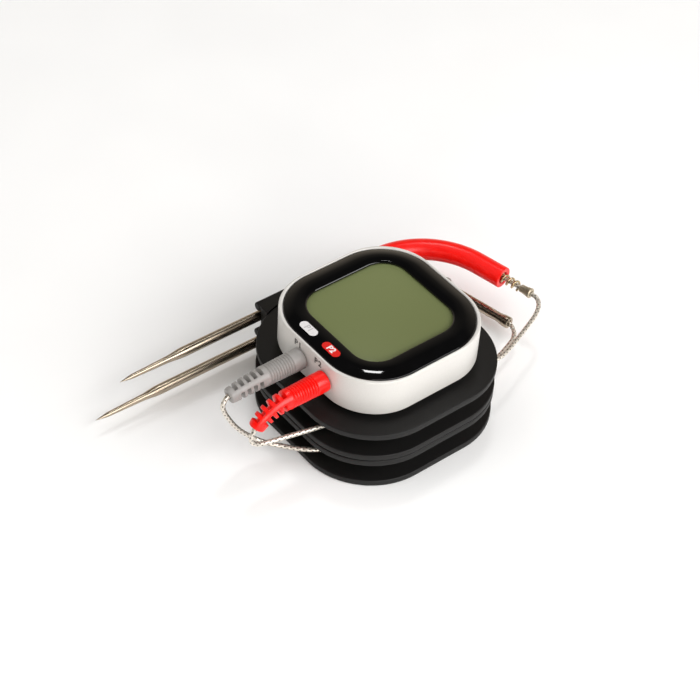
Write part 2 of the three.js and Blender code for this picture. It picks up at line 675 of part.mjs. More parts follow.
function makeNeedle(colour, end, cableDepth) {
  const probe = PROBES[colour];
  const bendStart = probe.bend - probe.tip;
  const socket = cableDepth > 0 ? [[CABLE_BORE, end], [CABLE_BORE, end - cableDepth]] : [];
  const profile = [
    ...NEEDLE_POINT, ...bendRings(bendStart, NEEDLE_RADIUS), [NEEDLE_RADIUS, end], ...socket,
    [0, end - cableDepth],
  ];
  piece(`${colour}_probe_needle`, laidAlong(turned(profile), probeLine(probe)), steel);
}

function makeSpring() {
  const springStart = RED_NEEDLE_END + GAP + SPRING_WIRE;
  const springEnd = FERRULE_START - GAP - SPRING_WIRE;
  const line = probeLine(PROBES.red);
  const count = SPRING_TURNS * SPRING_STEPS_PER_TURN;
  const wire = steps(springStart, springEnd, count).map((distance, i) => {
    const { point, normal, up } = line(distance);
    const angle = (2 * Math.PI * i) / SPRING_STEPS_PER_TURN;
    point.addScaledVector(normal, SPRING_MEAN * Math.cos(angle));
    point.addScaledVector(up, SPRING_MEAN * Math.sin(angle));
    return point.toArray();
  });
  const spacing = (2 * Math.PI * SPRING_MEAN) / SPRING_STEPS_PER_TURN;
  piece('red_probe_spring', swept(wire, SPRING_WIRE, SPRING_SIDES, spacing), steel);
}

function makeFerrule() {
  const end = FERRULE_START + FERRULE_LENGTH;
  const ferrule = turned([
    [CABLE_BORE, FERRULE_START], [FERRULE_RADIUS, FERRULE_START], [FERRULE_RADIUS, end],
    [CABLE_BORE, end], [CABLE_BORE, FERRULE_START],
  ]);
  piece('red_probe_ferrule', laidAlong(ferrule, probeLine(PROBES.red)), steel);
}

makeNeedle('red', RED_NEEDLE_END, 0);
makeNeedle('grey', PROBE_LENGTH, GREY_CABLE_DEPTH);
makeSleeve('red', redRubber);
makeSleeve('grey', greyRubber);
makeSpring();
makeFerrule();

// ---------- cables ----------

// Routes of the stretches that aren't wound. Each lead runs from its plug into its reel's groove,
// and each tail from the winding out to its probe.
const LEAD_ROUTES = {
  grey: [
    [-3.8, -67, 32.6], [-3.7, -66.4, 28.8], [-3.5, -64.6, 24.4], [-3.2, -62.3, 19.8],
    [-2.8, -59.4, 15.4], [-1.9, -55.9, 11.4], [0.4, -52.2, 8.4], [4.4, -47.4, 6.9],
    [9.6, -42.3, 6.5], [13.8, -37.3, 6.6], [17.6, -30, 6.8], [20.4, -21, 7.1],
    [21.9, -11.5, 7.4], [22.2, -5.5, 7.5], [22.2, -1.5, 7.5],
  ],
  red: [
    [10, -64.6, 26.2], [10, -63.6, 23], [10.1, -60.8, 20.9], [10.6, -56.8, 20.1],
    [11.6, -51.8, 19.9], [13, -46, 19.9], [14.6, -39.6, 20], [16.6, -32, 20.2],
    [18.9, -23.4, 20.5], [21, -13.4, 20.8], [22.1, -5.5, 20.9], [22.2, -1.5, 20.95],
  ],
};
const TAIL_ROUTES = {
  grey: [
    [7.6, 64.6, 6.3], [10.2, 62.2, 6.1], [12, 58.6, 6], [13.6, 54.2, 6.1], [15.2, 49.4, 6.3],
    [16.8, 43.6, 6.7], [18.6, 36.6, 7.4], [20.2, 29, 8.1], [21.5, 20, 8.8], [22.1, 11, 9.2],
    [22.2, 5, 9.3],
  ],
  red: [
    [9.2, 73.6, 19.7], [12.2, 71.6, 19.2], [14.6, 68, 18.8], [17, 62.6, 18.6], [19.4, 56.6, 18.6],
    [21.8, 50.4, 18.8], [24.2, 44, 19.2], [25.6, 37.6, 19.9], [25.6, 30, 20.8], [24.4, 21, 21.9],
    [22.8, 11.6, 22.6], [22.2, 5, 22.75],
  ],
};

function alongLine(line, distances) {
  return distances.map((distance) => line(distance).point.toArray());
}

function makeCable(colour) {
  const { reel } = PROBES[colour];
  const floor = REEL_FLOORS[reel];
  const plugEnd = PLUG_GRIP + PLUG_RELIEF;
  const leadStart = alongLine(plugLine(colour), LEAD_INSIDE_PLUG.map((offset) => plugEnd + offset));
  const lead = swept([...leadStart, ...LEAD_ROUTES[colour]], CABLE_RADIUS, CABLE_SIDES, CABLE_STEP);
  piece(`${colour}_cable_lead`, lead, braid);

  const windingBottom = floor + FLANGE + GAP;
  const windingTop = floor + REEL_HEIGHT - FLANGE - GAP;
  const winding = upright(turned([
    [WINDING_INNER, windingBottom], [WINDING_OUTER, windingBottom], [WINDING_OUTER, windingTop],
    [WINDING_INNER, windingTop], [WINDING_INNER, windingBottom],
  ], WINDING_SIDES));
  piece(`${colour}_cable_winding`, winding, braid);

  const line = probeLine(PROBES[colour]);
  const inside = colour === 'red' ? steps(RED_NEEDLE_END + GAP, FERRULE_START + FERRULE_LENGTH, 4)
    : steps(PROBE_LENGTH - GREY_CABLE_DEPTH + GAP, PROBE_LENGTH, 2);
  const tailPoints = [...alongLine(line, inside), ...TAIL_ROUTES[colour]];
  const tail = swept(tailPoints, CABLE_RADIUS, CABLE_SIDES, CABLE_STEP);
  piece(`${colour}_cable_tail`, tail, braid);
}

makeCable('grey');
makeCable('red');

export default thermometer;
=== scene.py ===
# %% [markdown]
# # A twin-probe meat thermometer
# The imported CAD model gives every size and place. It is loaded first, as a fixed frame, and each
# finer piece made below rides on one of its bodies, so that the pieces move as the real ones do.

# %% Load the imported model
import json
import math

import bmesh
import bpy
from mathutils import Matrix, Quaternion, Vector
from mathutils.geometry import interpolate_bezier


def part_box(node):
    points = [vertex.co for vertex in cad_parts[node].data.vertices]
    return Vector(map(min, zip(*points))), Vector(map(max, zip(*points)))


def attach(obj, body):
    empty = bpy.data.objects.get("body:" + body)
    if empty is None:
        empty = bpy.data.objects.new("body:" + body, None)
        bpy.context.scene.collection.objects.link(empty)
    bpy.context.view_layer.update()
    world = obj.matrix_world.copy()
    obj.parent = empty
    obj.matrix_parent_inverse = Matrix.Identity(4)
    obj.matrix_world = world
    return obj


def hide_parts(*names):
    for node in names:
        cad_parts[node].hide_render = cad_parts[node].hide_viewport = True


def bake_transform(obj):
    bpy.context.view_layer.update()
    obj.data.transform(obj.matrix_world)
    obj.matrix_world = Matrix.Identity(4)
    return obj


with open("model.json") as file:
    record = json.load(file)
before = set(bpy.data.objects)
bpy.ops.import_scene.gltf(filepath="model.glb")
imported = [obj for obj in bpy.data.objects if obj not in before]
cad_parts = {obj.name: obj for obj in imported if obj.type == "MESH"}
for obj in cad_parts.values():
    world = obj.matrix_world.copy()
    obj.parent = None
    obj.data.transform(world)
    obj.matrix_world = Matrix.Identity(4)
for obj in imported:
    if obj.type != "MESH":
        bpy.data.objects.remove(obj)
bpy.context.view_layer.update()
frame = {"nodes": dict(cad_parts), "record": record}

MM = 0.001

# %% [markdown]
# ## Camera
# A product shot looks down at the display from its front right corner with a longish lens, so that
# parallel edges stay nearly parallel. The camera is placed on a sphere round a target: two angles and
# a distance are easier to reason about than a position and a rotation. The slight roll is the tilt
# of a camera held by hand, and the small shift places the object in the picture.

# %% Camera on a sphere round the display
TARGET = Vector((0, 0, 19.7)) * MM
DISTANCE = 0.676
AZIMUTH, ELEVATION, ROLL = (math.radians(angle) for angle in (48.15, 44.185, 4.738))

FOCAL_LENGTH, SENSOR_WIDTH = 92.88, 36
SHIFT_X, SHIFT_Y = -0.0368, 0.0162

camera_data = bpy.data.cameras.new("camera")
camera_data.lens = FOCAL_LENGTH
camera_data.sensor_width = SENSOR_WIDTH
camera_data.shift_x = SHIFT_X
camera_data.shift_y = SHIFT_Y
camera = bpy.data.objects.new("camera", camera_data)
bpy.context.collection.objects.link(camera)
back = Vector((
    math.sin(AZIMUTH) * math.cos(ELEVATION),
    -math.cos(AZIMUTH) * math.cos(ELEVATION),
    math.sin(ELEVATION),
))
camera.location = TARGET + DISTANCE * back
camera.rotation_mode = "QUATERNION"
camera.rotation_quaternion = back.to_track_quat("Z", "Y") @ Quaternion((0, 0, 1), ROLL)
bpy.context.scene.camera = camera
print("camera at, mm:", [round(x / MM) for x in camera.location])

# %% [markdown]
# ## Helpers for materials
# Every finish is a node material. Colours are written as sRGB hex values, as in any drawing program,
# and one function turns them to the linear values that the renderer wants. One more function adds
# a node, sets its properties and fills or links its inputs, which keeps each material short. A
# pattern's scale is one over its real size in metres, because the materials read Object coordinates
# and every piece is modelled in metres.

# %% Colour, node and pattern size
def linear(hex_colour):
    """An sRGB hex colour as the linear RGBA that shader sockets hold."""
    channels = [int(hex_colour[i:i + 2], 16) / 255 for i in (1, 3, 5)]
    return [c / 12.92 if c <= 0.04045 else ((c + 0.055) / 1.055) ** 2.4 for c in channels] + [1.0]


def add(tree, kind, inputs=(), **settings):
    """Adds a shader node with its settings, and fills or links its inputs."""
    made = tree.nodes.new(kind)
    for name, value in settings.items():
        setattr(made, name, value)
    for name, value in dict(inputs).items():
        if isinstance(value, bpy.types.NodeSocket):
            tree.links.new(value, made.inputs[name])
        else:
            made.inputs[name].default_value = value
    return made


def per_metre(size_mm):
    """A pattern's scale from its real size."""
    return 1 / (size_mm * MM)


def blank_material(name):
    """A material with an output, and its empty node tree."""
    material = bpy.data.materials.new(name)
    material.use_nodes = True
    tree = material.node_tree
    tree.nodes.clear()
    return material, tree


def surface(tree, inputs):
    """Puts a Principled shader on the material's output."""
    shader = add(tree, "ShaderNodeBsdfPrincipled", inputs)
    add(tree, "ShaderNodeOutputMaterial", {"Surface": shader.outputs["BSDF"]})


def object_noise(tree, size_mm, detail=3, stretch=(1, 1, 1)):
    """Noise fixed to the piece, with grains of the given size, drawn out where stretch is under 1."""
    place = add(tree, "ShaderNodeTexCoord")
    turned_place = add(tree, "ShaderNodeMapping", {"Vector": place.outputs["Object"], "Scale": stretch})
    noise = add(tree, "ShaderNodeTexNoise", {
        "Vector": turned_place.outputs["Vector"], "Scale": per_metre(size_mm), "Detail": detail,
    })
    return noise.outputs["Fac"]


def between(tree, factor, low, high):
    """A number that runs from low to high as the factor goes from 0.3 to 0.7, where noise mostly lies."""
    mapped = add(tree, "ShaderNodeMapRange", {
        "Value": factor, "From Min": 0.3, "From Max": 0.7, "To Min": low, "To Max": high,
    })
    return mapped.outputs["Result"]


def two_tone(tree, factor, first, second):
    """A colour between two hex colours."""
    mixed = add(tree, "ShaderNodeMix", {"Factor": factor}, data_type="RGBA")
    mixed.inputs["A"].default_value = linear(first)
    mixed.inputs["B"].default_value = linear(second)
    return mixed.outputs["Result"]


def bumped(tree, height, depth_mm, strength=0.5):
    """A normal from a height pattern that is depth_mm deep."""
    bump = add(tree, "ShaderNodeBump", {"Height": height, "Distance": depth_mm * MM, "Strength": strength})
    return bump.outputs["Normal"]

# %% [markdown]
# ## Floor, light and surroundings
# The floor is plain white paper. The main light is a large soft box to the right and a little
# behind, so shadows fall softly to the left and the display's right side is bright. A smaller box
# overhead, a little behind, puts the sharp white glint on the rim of the glossy front, and a front
# light draws the bright streak down the display's near corner. Two very large boxes, one on the left
# and one straight above, lift the shadows; they are hidden from reflections, so nothing shows them.
# Polished things look like their surroundings, so the world is a gradient: a pale wall low down behind
# the object, and dark above and on the camera's side, which keeps the glossy front and the grooves black.

# %% Floor
def paper():
    """Matt white paper, with a faint unevenness over some centimetres."""
    material, tree = blank_material("white paper")
    cloudy = object_noise(tree, 60, detail=1)
    surface(tree, {
        "Base Color": two_tone(tree, between(tree, cloudy, 0, 1), "#f4f4f4", "#f7f7f7"),
        "Roughness": 0.9,
    })
    return material


FLOOR_SIZE = 3.0
FLOOR_DROP = 0.15 * MM
floor_mesh = bpy.data.meshes.new("floor")
shape = bmesh.new()
bmesh.ops.create_grid(shape, x_segments=1, y_segments=1, size=FLOOR_SIZE)
bmesh.ops.translate(shape, verts=shape.verts, vec=(0, 0, -FLOOR_DROP))
shape.to_mesh(floor_mesh)
shape.free()
floor_mesh.materials.append(paper())
floor = bpy.data.objects.new("floor", floor_mesh)
bpy.context.collection.objects.link(floor)

# %% Lights
def soft_box(name, direction, distance, width, height, power, colour, mirrored=True):
    """A rectangular light that faces the display from a direction. Polished things show it if mirrored."""
    data = bpy.data.lights.new(name, "AREA")
    data.shape = "RECTANGLE"
    data.size = width
    data.size_y = height
    data.energy = power
    data.color = linear(colour)[:3]
    light = bpy.data.objects.new(name, data)
    bpy.context.collection.objects.link(light)
    towards = Vector(direction).normalized()
    light.location = TARGET + towards * distance
    light.rotation_mode = "QUATERNION"
    light.rotation_quaternion = towards.to_track_quat("Z", "Y")
    light.visible_glossy = mirrored


soft_box("key light", (0.82, 0.22, 0.6), 1.5, 1.4, 0.9, 23, "#ffffff")
soft_box("rim light", (-0.28, 0.25, 0.93), 1.3, 0.16, 0.16, 1.8, "#ffffff")
soft_box("front light", (0.8, -0.5, 0.33), 1.8, 0.6, 0.5, 10, "#fffaf2")
soft_box("left fill", (-0.6, -0.7, 0.8), 2.4, 2.2, 2.2, 19, "#ffffff", mirrored=False)
soft_box("ceiling", (0, 0, 1), 2.4, 1.9, 1.9, 16, "#ffffff", mirrored=False)

# %% Surroundings
BEHIND = (-math.sin(AZIMUTH), math.cos(AZIMUTH), 0)
WALL_FULL, WALL_GONE = 0.12, 0.72
SIDE_DARK, SIDE_BRIGHT = -0.5, 0.6
world = bpy.data.worlds.new("studio")
bpy.context.scene.world = world
world.use_nodes = True
sky = world.node_tree
sky.nodes.clear()
direction = add(sky, "ShaderNodeTexCoord")
height = add(sky, "ShaderNodeSeparateXYZ", {"Vector": direction.outputs["Generated"]})
low_down = add(sky, "ShaderNodeMapRange", {
    "Value": height.outputs["Z"], "From Min": WALL_FULL, "From Max": WALL_GONE, "To Min": 1.0, "To Max": 0.0,
})
behind = add(sky, "ShaderNodeVectorMath", {
    0: direction.outputs["Generated"], 1: BEHIND,
}, operation="DOT_PRODUCT")
far_side = add(sky, "ShaderNodeMapRange", {
    "Value": behind.outputs["Value"], "From Min": SIDE_DARK, "From Max": SIDE_BRIGHT,
})
wall_share = add(sky, "ShaderNodeMath", {
    0: low_down.outputs["Result"], 1: far_side.outputs["Result"],
}, operation="MULTIPLY")
glow = add(sky, "ShaderNodeBackground", {
    "Color": two_tone(sky, wall_share.outputs[0], "#2c2b2a", "#e4d6c2"), "Strength": 1.0,
})
add(sky, "ShaderNodeOutputWorld", {"Surface": glow.outputs["Background"]})
bpy.context.scene.view_settings.view_transform = "Standard"

# %% [markdown]
# ## Helpers for shapes
# Three ways of making a closed skin cover the whole object. Turned pieces are a profile spun round
# an axis. Pieces with rounded-square outlines are a stack of rounded squares joined by bridges.
# Cables and wires are a grid rolled into a tube round a path. Each is then softened along its sharp
# edges with a small bevel, because moulded and machined edges are never perfectly sharp and the thin
# highlight along them is what makes a model look real.

# %% Faces that point out
def facing_out(bm):
    """Merges doubles, then turns the faces of a closed skin outwards."""
    bmesh.ops.remove_doubles(bm, verts=bm.verts, dist=MM / 1000)
    bmesh.ops.recalc_face_normals(bm, faces=bm.faces)
    if bm.calc_volume(signed=True) < 0:
        bmesh.ops.reverse_faces(bm, faces=bm.faces)
    return bm


# %% Turned skins
def turned(profile, sides=64):
    """A closed skin from (radius, distance along Y) points in millimetres, spun round the Y axis."""
    bm = bmesh.new()
    ring = profile[0] == profile[-1]
    spun = profile[:-1] if ring else profile
    verts = [bm.verts.new((radius * MM, distance * MM, 0)) for radius, distance in spun]
    pairs = list(zip(verts, verts[1:])) + ([(verts[-1], verts[0])] if ring else [])
    edges = [bm.edges.new(pair) for pair in pairs]
    bmesh.ops.spin(
        bm, geom=verts + edges, cent=(0, 0, 0), axis=(0, 1, 0), angle=2 * math.pi, steps=sides,
        use_merge=True,
    )
    return facing_out(bm)


def along(start, end, count):
    """Numbers from start to end in equal steps, both included."""
    return [start + (end - start) * i / count for i in range(count + 1)]


def smooth_step(low, high, value):
    """0 below low, 1 above high, and a smooth rise between."""
    share = min(max((value - low) / (high - low), 0), 1)
    return share * share * (3 - 2 * share)


# %% Stacks of rounded squares
HAIR = 0.002


def outline(bm, half, corner, height, sides):
    """The edges of a rounded square: a circle whose four quarters are pulled apart."""
    verts = bmesh.ops.create_circle(bm, cap_ends=False, segments=sides, radius=corner * MM)["verts"]
    half_step = math.pi / sides
    bmesh.ops.rotate(bm, verts=verts, cent=(0, 0, 0), matrix=Quaternion((0, 0, 1), half_step).to_matrix())
    pull = (half - corner) * MM
    for vert in verts:
        vert.co += Vector((math.copysign(pull, vert.co.x), math.copysign(pull, vert.co.y), height * MM))
    return list({edge for vert in verts for edge in vert.link_edges})


def stacked(rings, frame_shape=False, sides=96):
    """A closed skin through rounded squares, each (half width, corner radius, height) in millimetres.
    Bridging two loops needs a direction from one to the other, so a hair parts those at one height."""
    bm = bmesh.new()
    loops = []
    for order, (half, corner, height) in enumerate(rings):
        level = order > 0 and height == rings[order - 1][2]
        level = level or (frame_shape and order == len(rings) - 1 and height == rings[0][2])
        loops.append(outline(bm, half, corner, height + HAIR * level, sides))
    for low, high in zip(loops, loops[1:]):
        bmesh.ops.bridge_loops(bm, edges=low + high)
    if frame_shape:
        bmesh.ops.bridge_loops(bm, edges=loops[-1] + loops[0])
    else:
        bmesh.ops.holes_fill(bm, edges=loops[0] + loops[-1], sides=0)
    return facing_out(bm)


def block(low, high):
    """A box between two corners, in millimetres."""
    bm = bmesh.new()
    verts = bmesh.ops.create_cube(bm, size=1)["verts"]
    low, high = Vector(low), Vector(high)
    bmesh.ops.scale(bm, verts=verts, vec=(high - low) * MM)
    bmesh.ops.translate(bm, verts=verts, vec=(high + low) / 2 * MM)
    return bm


# %% Softened edges, joined skins and boolean cuts
def soften(bm, width_mm, segments=3, angle=35):
    """Bevels every edge that is sharper than the angle."""
    sharp = [e for e in bm.edges if len(e.link_faces) == 2 and e.calc_face_angle() > math.radians(angle)]
    bmesh.ops.bevel(
        bm, geom=sharp, offset=width_mm * MM, segments=segments, affect="EDGES", profile=0.5, material=-1,
        offset_type="OFFSET", clamp_overlap=True,
    )
    return bm


def together(*shapes):
    """Several closed skins as one mesh."""
    whole = shapes[0]
    for other in shapes[1:]:
        mesh = bpy.data.meshes.new("part")
        other.to_mesh(mesh)
        other.free()
        whole.from_mesh(mesh)
        bpy.data.meshes.remove(mesh)
    return whole


def tipped_up(bm):
    """Turns a shape a quarter round X, so that its Y becomes Z."""
    quarter = Quaternion((1, 0, 0), math.pi / 2).to_matrix()
    bmesh.ops.rotate(bm, verts=bm.verts, cent=(0, 0, 0), matrix=quarter)
    return bm


def turned_up(bm, x=0, y=0):
    """Stands a skin that was turned round Y upright, over a place in millimetres."""
    tipped_up(bm)
    bmesh.ops.translate(bm, verts=bm.verts, vec=Vector((x, y, 0)) * MM)
    return bm


def moved(bm, x, y, z):
    """Moves a skin, in millimetres."""
    bmesh.ops.translate(bm, verts=bm.verts, vec=Vector((x, y, z)) * MM)
    return bm


def scratch_object(bm):
    """A short-lived object for a boolean."""
    mesh = bpy.data.meshes.new("scratch")
    bm.to_mesh(mesh)
    bm.free()
    made = bpy.data.objects.new("scratch", mesh)
    bpy.context.collection.objects.link(made)
    return made


def carved(bm, others, operation="DIFFERENCE"):
    """Takes other solids away from one, or joins them on, with an exact boolean."""
    target = scratch_object(bm)
    tools = [scratch_object(other) for other in others]
    for tool in tools:
        step = target.modifiers.new("cut", "BOOLEAN")
        step.operation = operation
        step.solver = "EXACT"
        step.object = tool
    evaluated = target.evaluated_get(bpy.context.evaluated_depsgraph_get())
    result = bmesh.new()
    result.from_mesh(evaluated.to_mesh())
    evaluated.to_mesh_clear()
    for used in [target, *tools]:
        mesh = used.data
        bpy.data.objects.remove(used)
        bpy.data.meshes.remove(mesh)
    bmesh.ops.dissolve_degenerate(result, edges=result.edges, dist=MM / 1000)
    bmesh.ops.holes_fill(result, edges=[edge for edge in result.edges if edge.is_boundary], sides=0)
    return facing_out(result)


# %% Paths, and pieces laid along them
def bent_line(start, ahead, side, bend_start, radius, angle):
    """A line in millimetres that runs straight, turns towards a side through an arc, and runs on."""
    start, ahead, side = Vector(start), Vector(ahead), Vector(side)
    up = side.cross(ahead)

    def at(distance):
        turn = min(max((distance - bend_start) / radius, 0), angle)
        before = min(distance, bend_start)
        after = max(distance - bend_start - radius * angle, 0)
        tangent = ahead * math.cos(turn) + side * math.sin(turn)
        normal = side * math.cos(turn) - ahead * math.sin(turn)
        point = start + ahead * (before + radius * math.sin(turn)) + side * radius * (1 - math.cos(turn))
        return point + tangent * after, normal, up

    return at


def laid_along(bm, line):
    """Lays a skin whose axis is Y along a line."""
    for vert in bm.verts:
        point, normal, up = line(vert.co.y / MM)
        vert.co = point * MM + normal * vert.co.x + up * vert.co.z
    return facing_out(bm)


def smooth_path(points, spacing_mm):
    """Close points on a centripetal curve through the given ones, all in millimetres."""
    knots = [Vector(p) for p in points]
    knots = [2 * knots[0] - knots[1], *knots, 2 * knots[-1] - knots[-2]]
    path = []
    for a, b, c, d in zip(knots, knots[1:], knots[2:], knots[3:]):
        before, span, after = ((q - p).length ** 0.5 for p, q in ((a, b), (b, c), (c, d)))
        leave = ((b - a) / before - (c - a) / (before + span)) * span + (c - b)
        arrive = ((c - b) / span - (d - b) / (span + after) + (d - c) / after) * span
        count = max(2, round((c - b).length / spacing_mm))
        path += interpolate_bezier(b, b + leave / 3, c - arrive / 3, c, count + 1)[:-1]
    return path + [knots[-2]]


def path_length(path):
    """The length of a path, in its own units."""
    return sum((q - p).length for p, q in zip(path, path[1:]))


def tube(path, radius_mm, sides, relief=None):
    """A closed tube round a path in millimetres. Its UV map holds the share of a turn and the metres along.
    relief gives how much of the radius is left at a share of a turn and a distance in millimetres."""
    bm = bmesh.new()
    uv = bm.loops.layers.uv.new("around and along")
    rows = len(path) - 1
    bmesh.ops.create_grid(bm, x_segments=sides, y_segments=rows, size=0.5)
    distances = [0.0]
    for p, q in zip(path, path[1:]):
        distances.append(distances[-1] + (q - p).length)
    tangents = [(path[min(i + 1, rows)] - path[max(i - 1, 0)]).normalized() for i in range(rows + 1)]
    normal = tangents[0].orthogonal().normalized()
    normals = []
    for tangent in tangents:
        normal = (normal - tangent * normal.dot(tangent)).normalized()
        normals.append(normal)
    for face in bm.faces:
        for loop in face.loops:
            row = round((loop.vert.co.y + 0.5) * rows)
            loop[uv].uv = (loop.vert.co.x + 0.5, distances[row] * MM)
    for vert in bm.verts:
        row = round((vert.co.y + 0.5) * rows)
        share = vert.co.x + 0.5
        left = relief(share, distances[row]) if relief else 1
        across = normals[row] * math.cos(2 * math.pi * share)
        across += tangents[row].cross(normals[row]) * math.sin(2 * math.pi * share)
        vert.co = (path[row] + across * radius_mm * left) * MM
    bmesh.ops.remove_doubles(bm, verts=bm.verts, dist=MM / 1000)
    bmesh.ops.holes_fill(bm, edges=bm.edges, sides=0)
    return facing_out(bm)


# %% From a skin to a piece of the object
def piece(name, bm, material, body=None, replaces=(), sharp=32):
    """Makes the object, rides it on its body and hides the CAD nodes it stands for."""
    mesh = bpy.data.meshes.new(name)
    bm.to_mesh(mesh)
    bm.free()
    mesh.shade_smooth()
    mesh.set_sharp_from_angle(angle=math.radians(sharp))
    mesh.materials.append(material)
    made = bpy.data.objects.new(name, mesh)
    bpy.context.collection.objects.link(made)
    if body:
        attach(made, body)
    if replaces:
        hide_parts(*replaces)
    print(f"{name}: {len(mesh.polygons)} faces")
    return made

# %% [markdown]
# ## Cables
# Each probe's cable is steel wire braided over insulation, 1.8 mm thick. It comes out of its plug,
# drops in a loose loop, runs into its reel's groove, lies there in about seven turns and leaves
# again to its probe. The braid is real relief: two sets of strands wind round the tube in opposite
# directions, and the skin sinks a little where neither covers it. The same two sets of strands, read
# from the UV map, paint shade into the gaps in the material as a dark base colour.

# %% Sizes that the cables share with the reels, plugs and probes
CABLE_RADIUS = 0.9
BRAID_STRANDS = 3
BRAID_PITCH = 2.3
BRAID_RELIEF = 0.18
REEL_FLOORS = {side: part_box(f"{side}_reel_base")[0].z / MM for side in ("lower", "upper")}
REEL_HEIGHT = (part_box("lower_reel_top")[1].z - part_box("lower_reel_base")[0].z) / MM
CASE_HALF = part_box("front_case")[1].x / MM
SOCKET_X = {"grey": -4.0, "red": 10.0}
SOCKET_HEIGHT = 36.7
GAP = 0.3
PLUG_GRIP = 16.7
PLUG_RELIEF = 15.0
PLUG_BENDS = {"grey": 0.17, "red": 0.91}
NEEDLE_X = -45.0
NEEDLE_ABOVE_REEL = 6.7
PROBES = {
    "red": {"reel": "upper", "tip": -84.0, "bend": 36.65, "sleeve_end": 12.4, "sleeve": 56.0},
    "grey": {"reel": "lower", "tip": -95.15, "bend": 29.5, "sleeve_end": -7.0, "sleeve": 50.5},
}
PROBE_LENGTH = 192.0
BEND_RADIUS = 32.0
BEND_ANGLE = math.radians(78)


def plug_line(colour):
    """The middle of a plug, from the case outwards and down."""
    start = (SOCKET_X[colour], -CASE_HALF - GAP, SOCKET_HEIGHT)
    bend = PLUG_BENDS[colour]
    return bent_line(start, (0, -1, 0), (0, 0, -1), PLUG_GRIP, PLUG_RELIEF / bend, bend)


def probe_line(colour):
    """The middle of a probe, from its tip through its bend."""
    probe = PROBES[colour]
    start = (NEEDLE_X, probe["tip"], REEL_FLOORS[probe["reel"]] + NEEDLE_ABOVE_REEL)
    return bent_line(start, (0, 1, 0), (1, 0, 0), probe["bend"] - probe["tip"], BEND_RADIUS, BEND_ANGLE)


def bend_end(colour):
    """How far along a probe its bend ends."""
    probe = PROBES[colour]
    return probe["bend"] - probe["tip"] + BEND_RADIUS * BEND_ANGLE


FERRULE_START = bend_end("red") + 21.1
FERRULE_LENGTH = 4.9
FERRULE_RADIUS = 2.1
RED_NEEDLE_END = bend_end("red") + 9.4
print("bends end at, mm:", {colour: round(bend_end(colour), 1) for colour in PROBES})

# %% Routes, the same as the CAD model's
LEAD_ROUTES = {
    "grey": [
        (-3.8, -67, 32.6), (-3.7, -66.4, 28.8), (-3.5, -64.6, 24.4), (-3.2, -62.3, 19.8),
        (-2.8, -59.4, 15.4), (-1.9, -55.9, 11.4), (0.4, -52.2, 8.4), (4.4, -47.4, 6.9),
        (9.6, -42.3, 6.5), (13.8, -37.3, 6.6), (17.6, -30, 6.8), (20.4, -21, 7.1),
        (21.9, -11.5, 7.4), (22.2, -5.5, 7.5), (22.2, -1.5, 7.5),
    ],
    "red": [
        (10, -64.6, 26.2), (10, -63.6, 23), (10.1, -60.8, 20.9), (10.6, -56.8, 20.1),
        (11.6, -51.8, 19.9), (13, -46, 19.9), (14.6, -39.6, 20), (16.6, -32, 20.2),
        (18.9, -23.4, 20.5), (21, -13.4, 20.8), (22.1, -5.5, 20.9), (22.2, -1.5, 20.95),
    ],
}
TAIL_ROUTES = {
    "grey": [
        (7.6, 64.6, 6.3), (10.2, 62.2, 6.1), (12, 58.6, 6), (13.6, 54.2, 6.1), (15.2, 49.4, 6.3),
        (16.8, 43.6, 6.7), (18.6, 36.6, 7.4), (20.2, 29, 8.1), (21.5, 20, 8.8), (22.1, 11, 9.2),
        (22.2, 5, 9.3),
    ],
    "red": [
        (9.2, 73.6, 19.7), (12.2, 71.6, 19.2), (14.6, 68, 18.8), (17, 62.6, 18.6), (19.4, 56.6, 18.6),
        (21.8, 50.4, 18.8), (24.2, 44, 19.2), (25.6, 37.6, 19.9), (25.6, 30, 20.8), (24.4, 21, 21.9),
        (22.8, 11.6, 22.6), (22.2, 5, 22.75),
    ],
}
CABLE_DEPTH = {"red": FERRULE_LENGTH + FERRULE_START - RED_NEEDLE_END - GAP, "grey": 7.7}
PATH_SPACING = 0.3


def lead_path(colour):
    """From inside the plug's end into the reel's groove."""
    end = PLUG_GRIP + PLUG_RELIEF
    inside = [plug_line(colour)(end + step)[0] for step in (-2.7, -1, 0.6)]
    return smooth_path([*inside, *LEAD_ROUTES[colour]], PATH_SPACING)


def tail_path(colour):
    """From inside the probe's end into the reel's groove."""
    end = PROBE_LENGTH if colour == "grey" else FERRULE_START + FERRULE_LENGTH
    stations = along(end - CABLE_DEPTH[colour], end, 4 if colour == "red" else 2)
    inside = [probe_line(colour)(distance)[0] for distance in stations]
    return smooth_path([*inside, *TAIL_ROUTES[colour]], PATH_SPACING)


# %% The wound length, worked out turn by turn
POINTS_A_TURN = 48
TURNS_IN = 4
TURNS_OUT = 3
INNER_ROW, OUTER_ROW = 18.25, 20.05
ROW_BOTTOM = 3.85


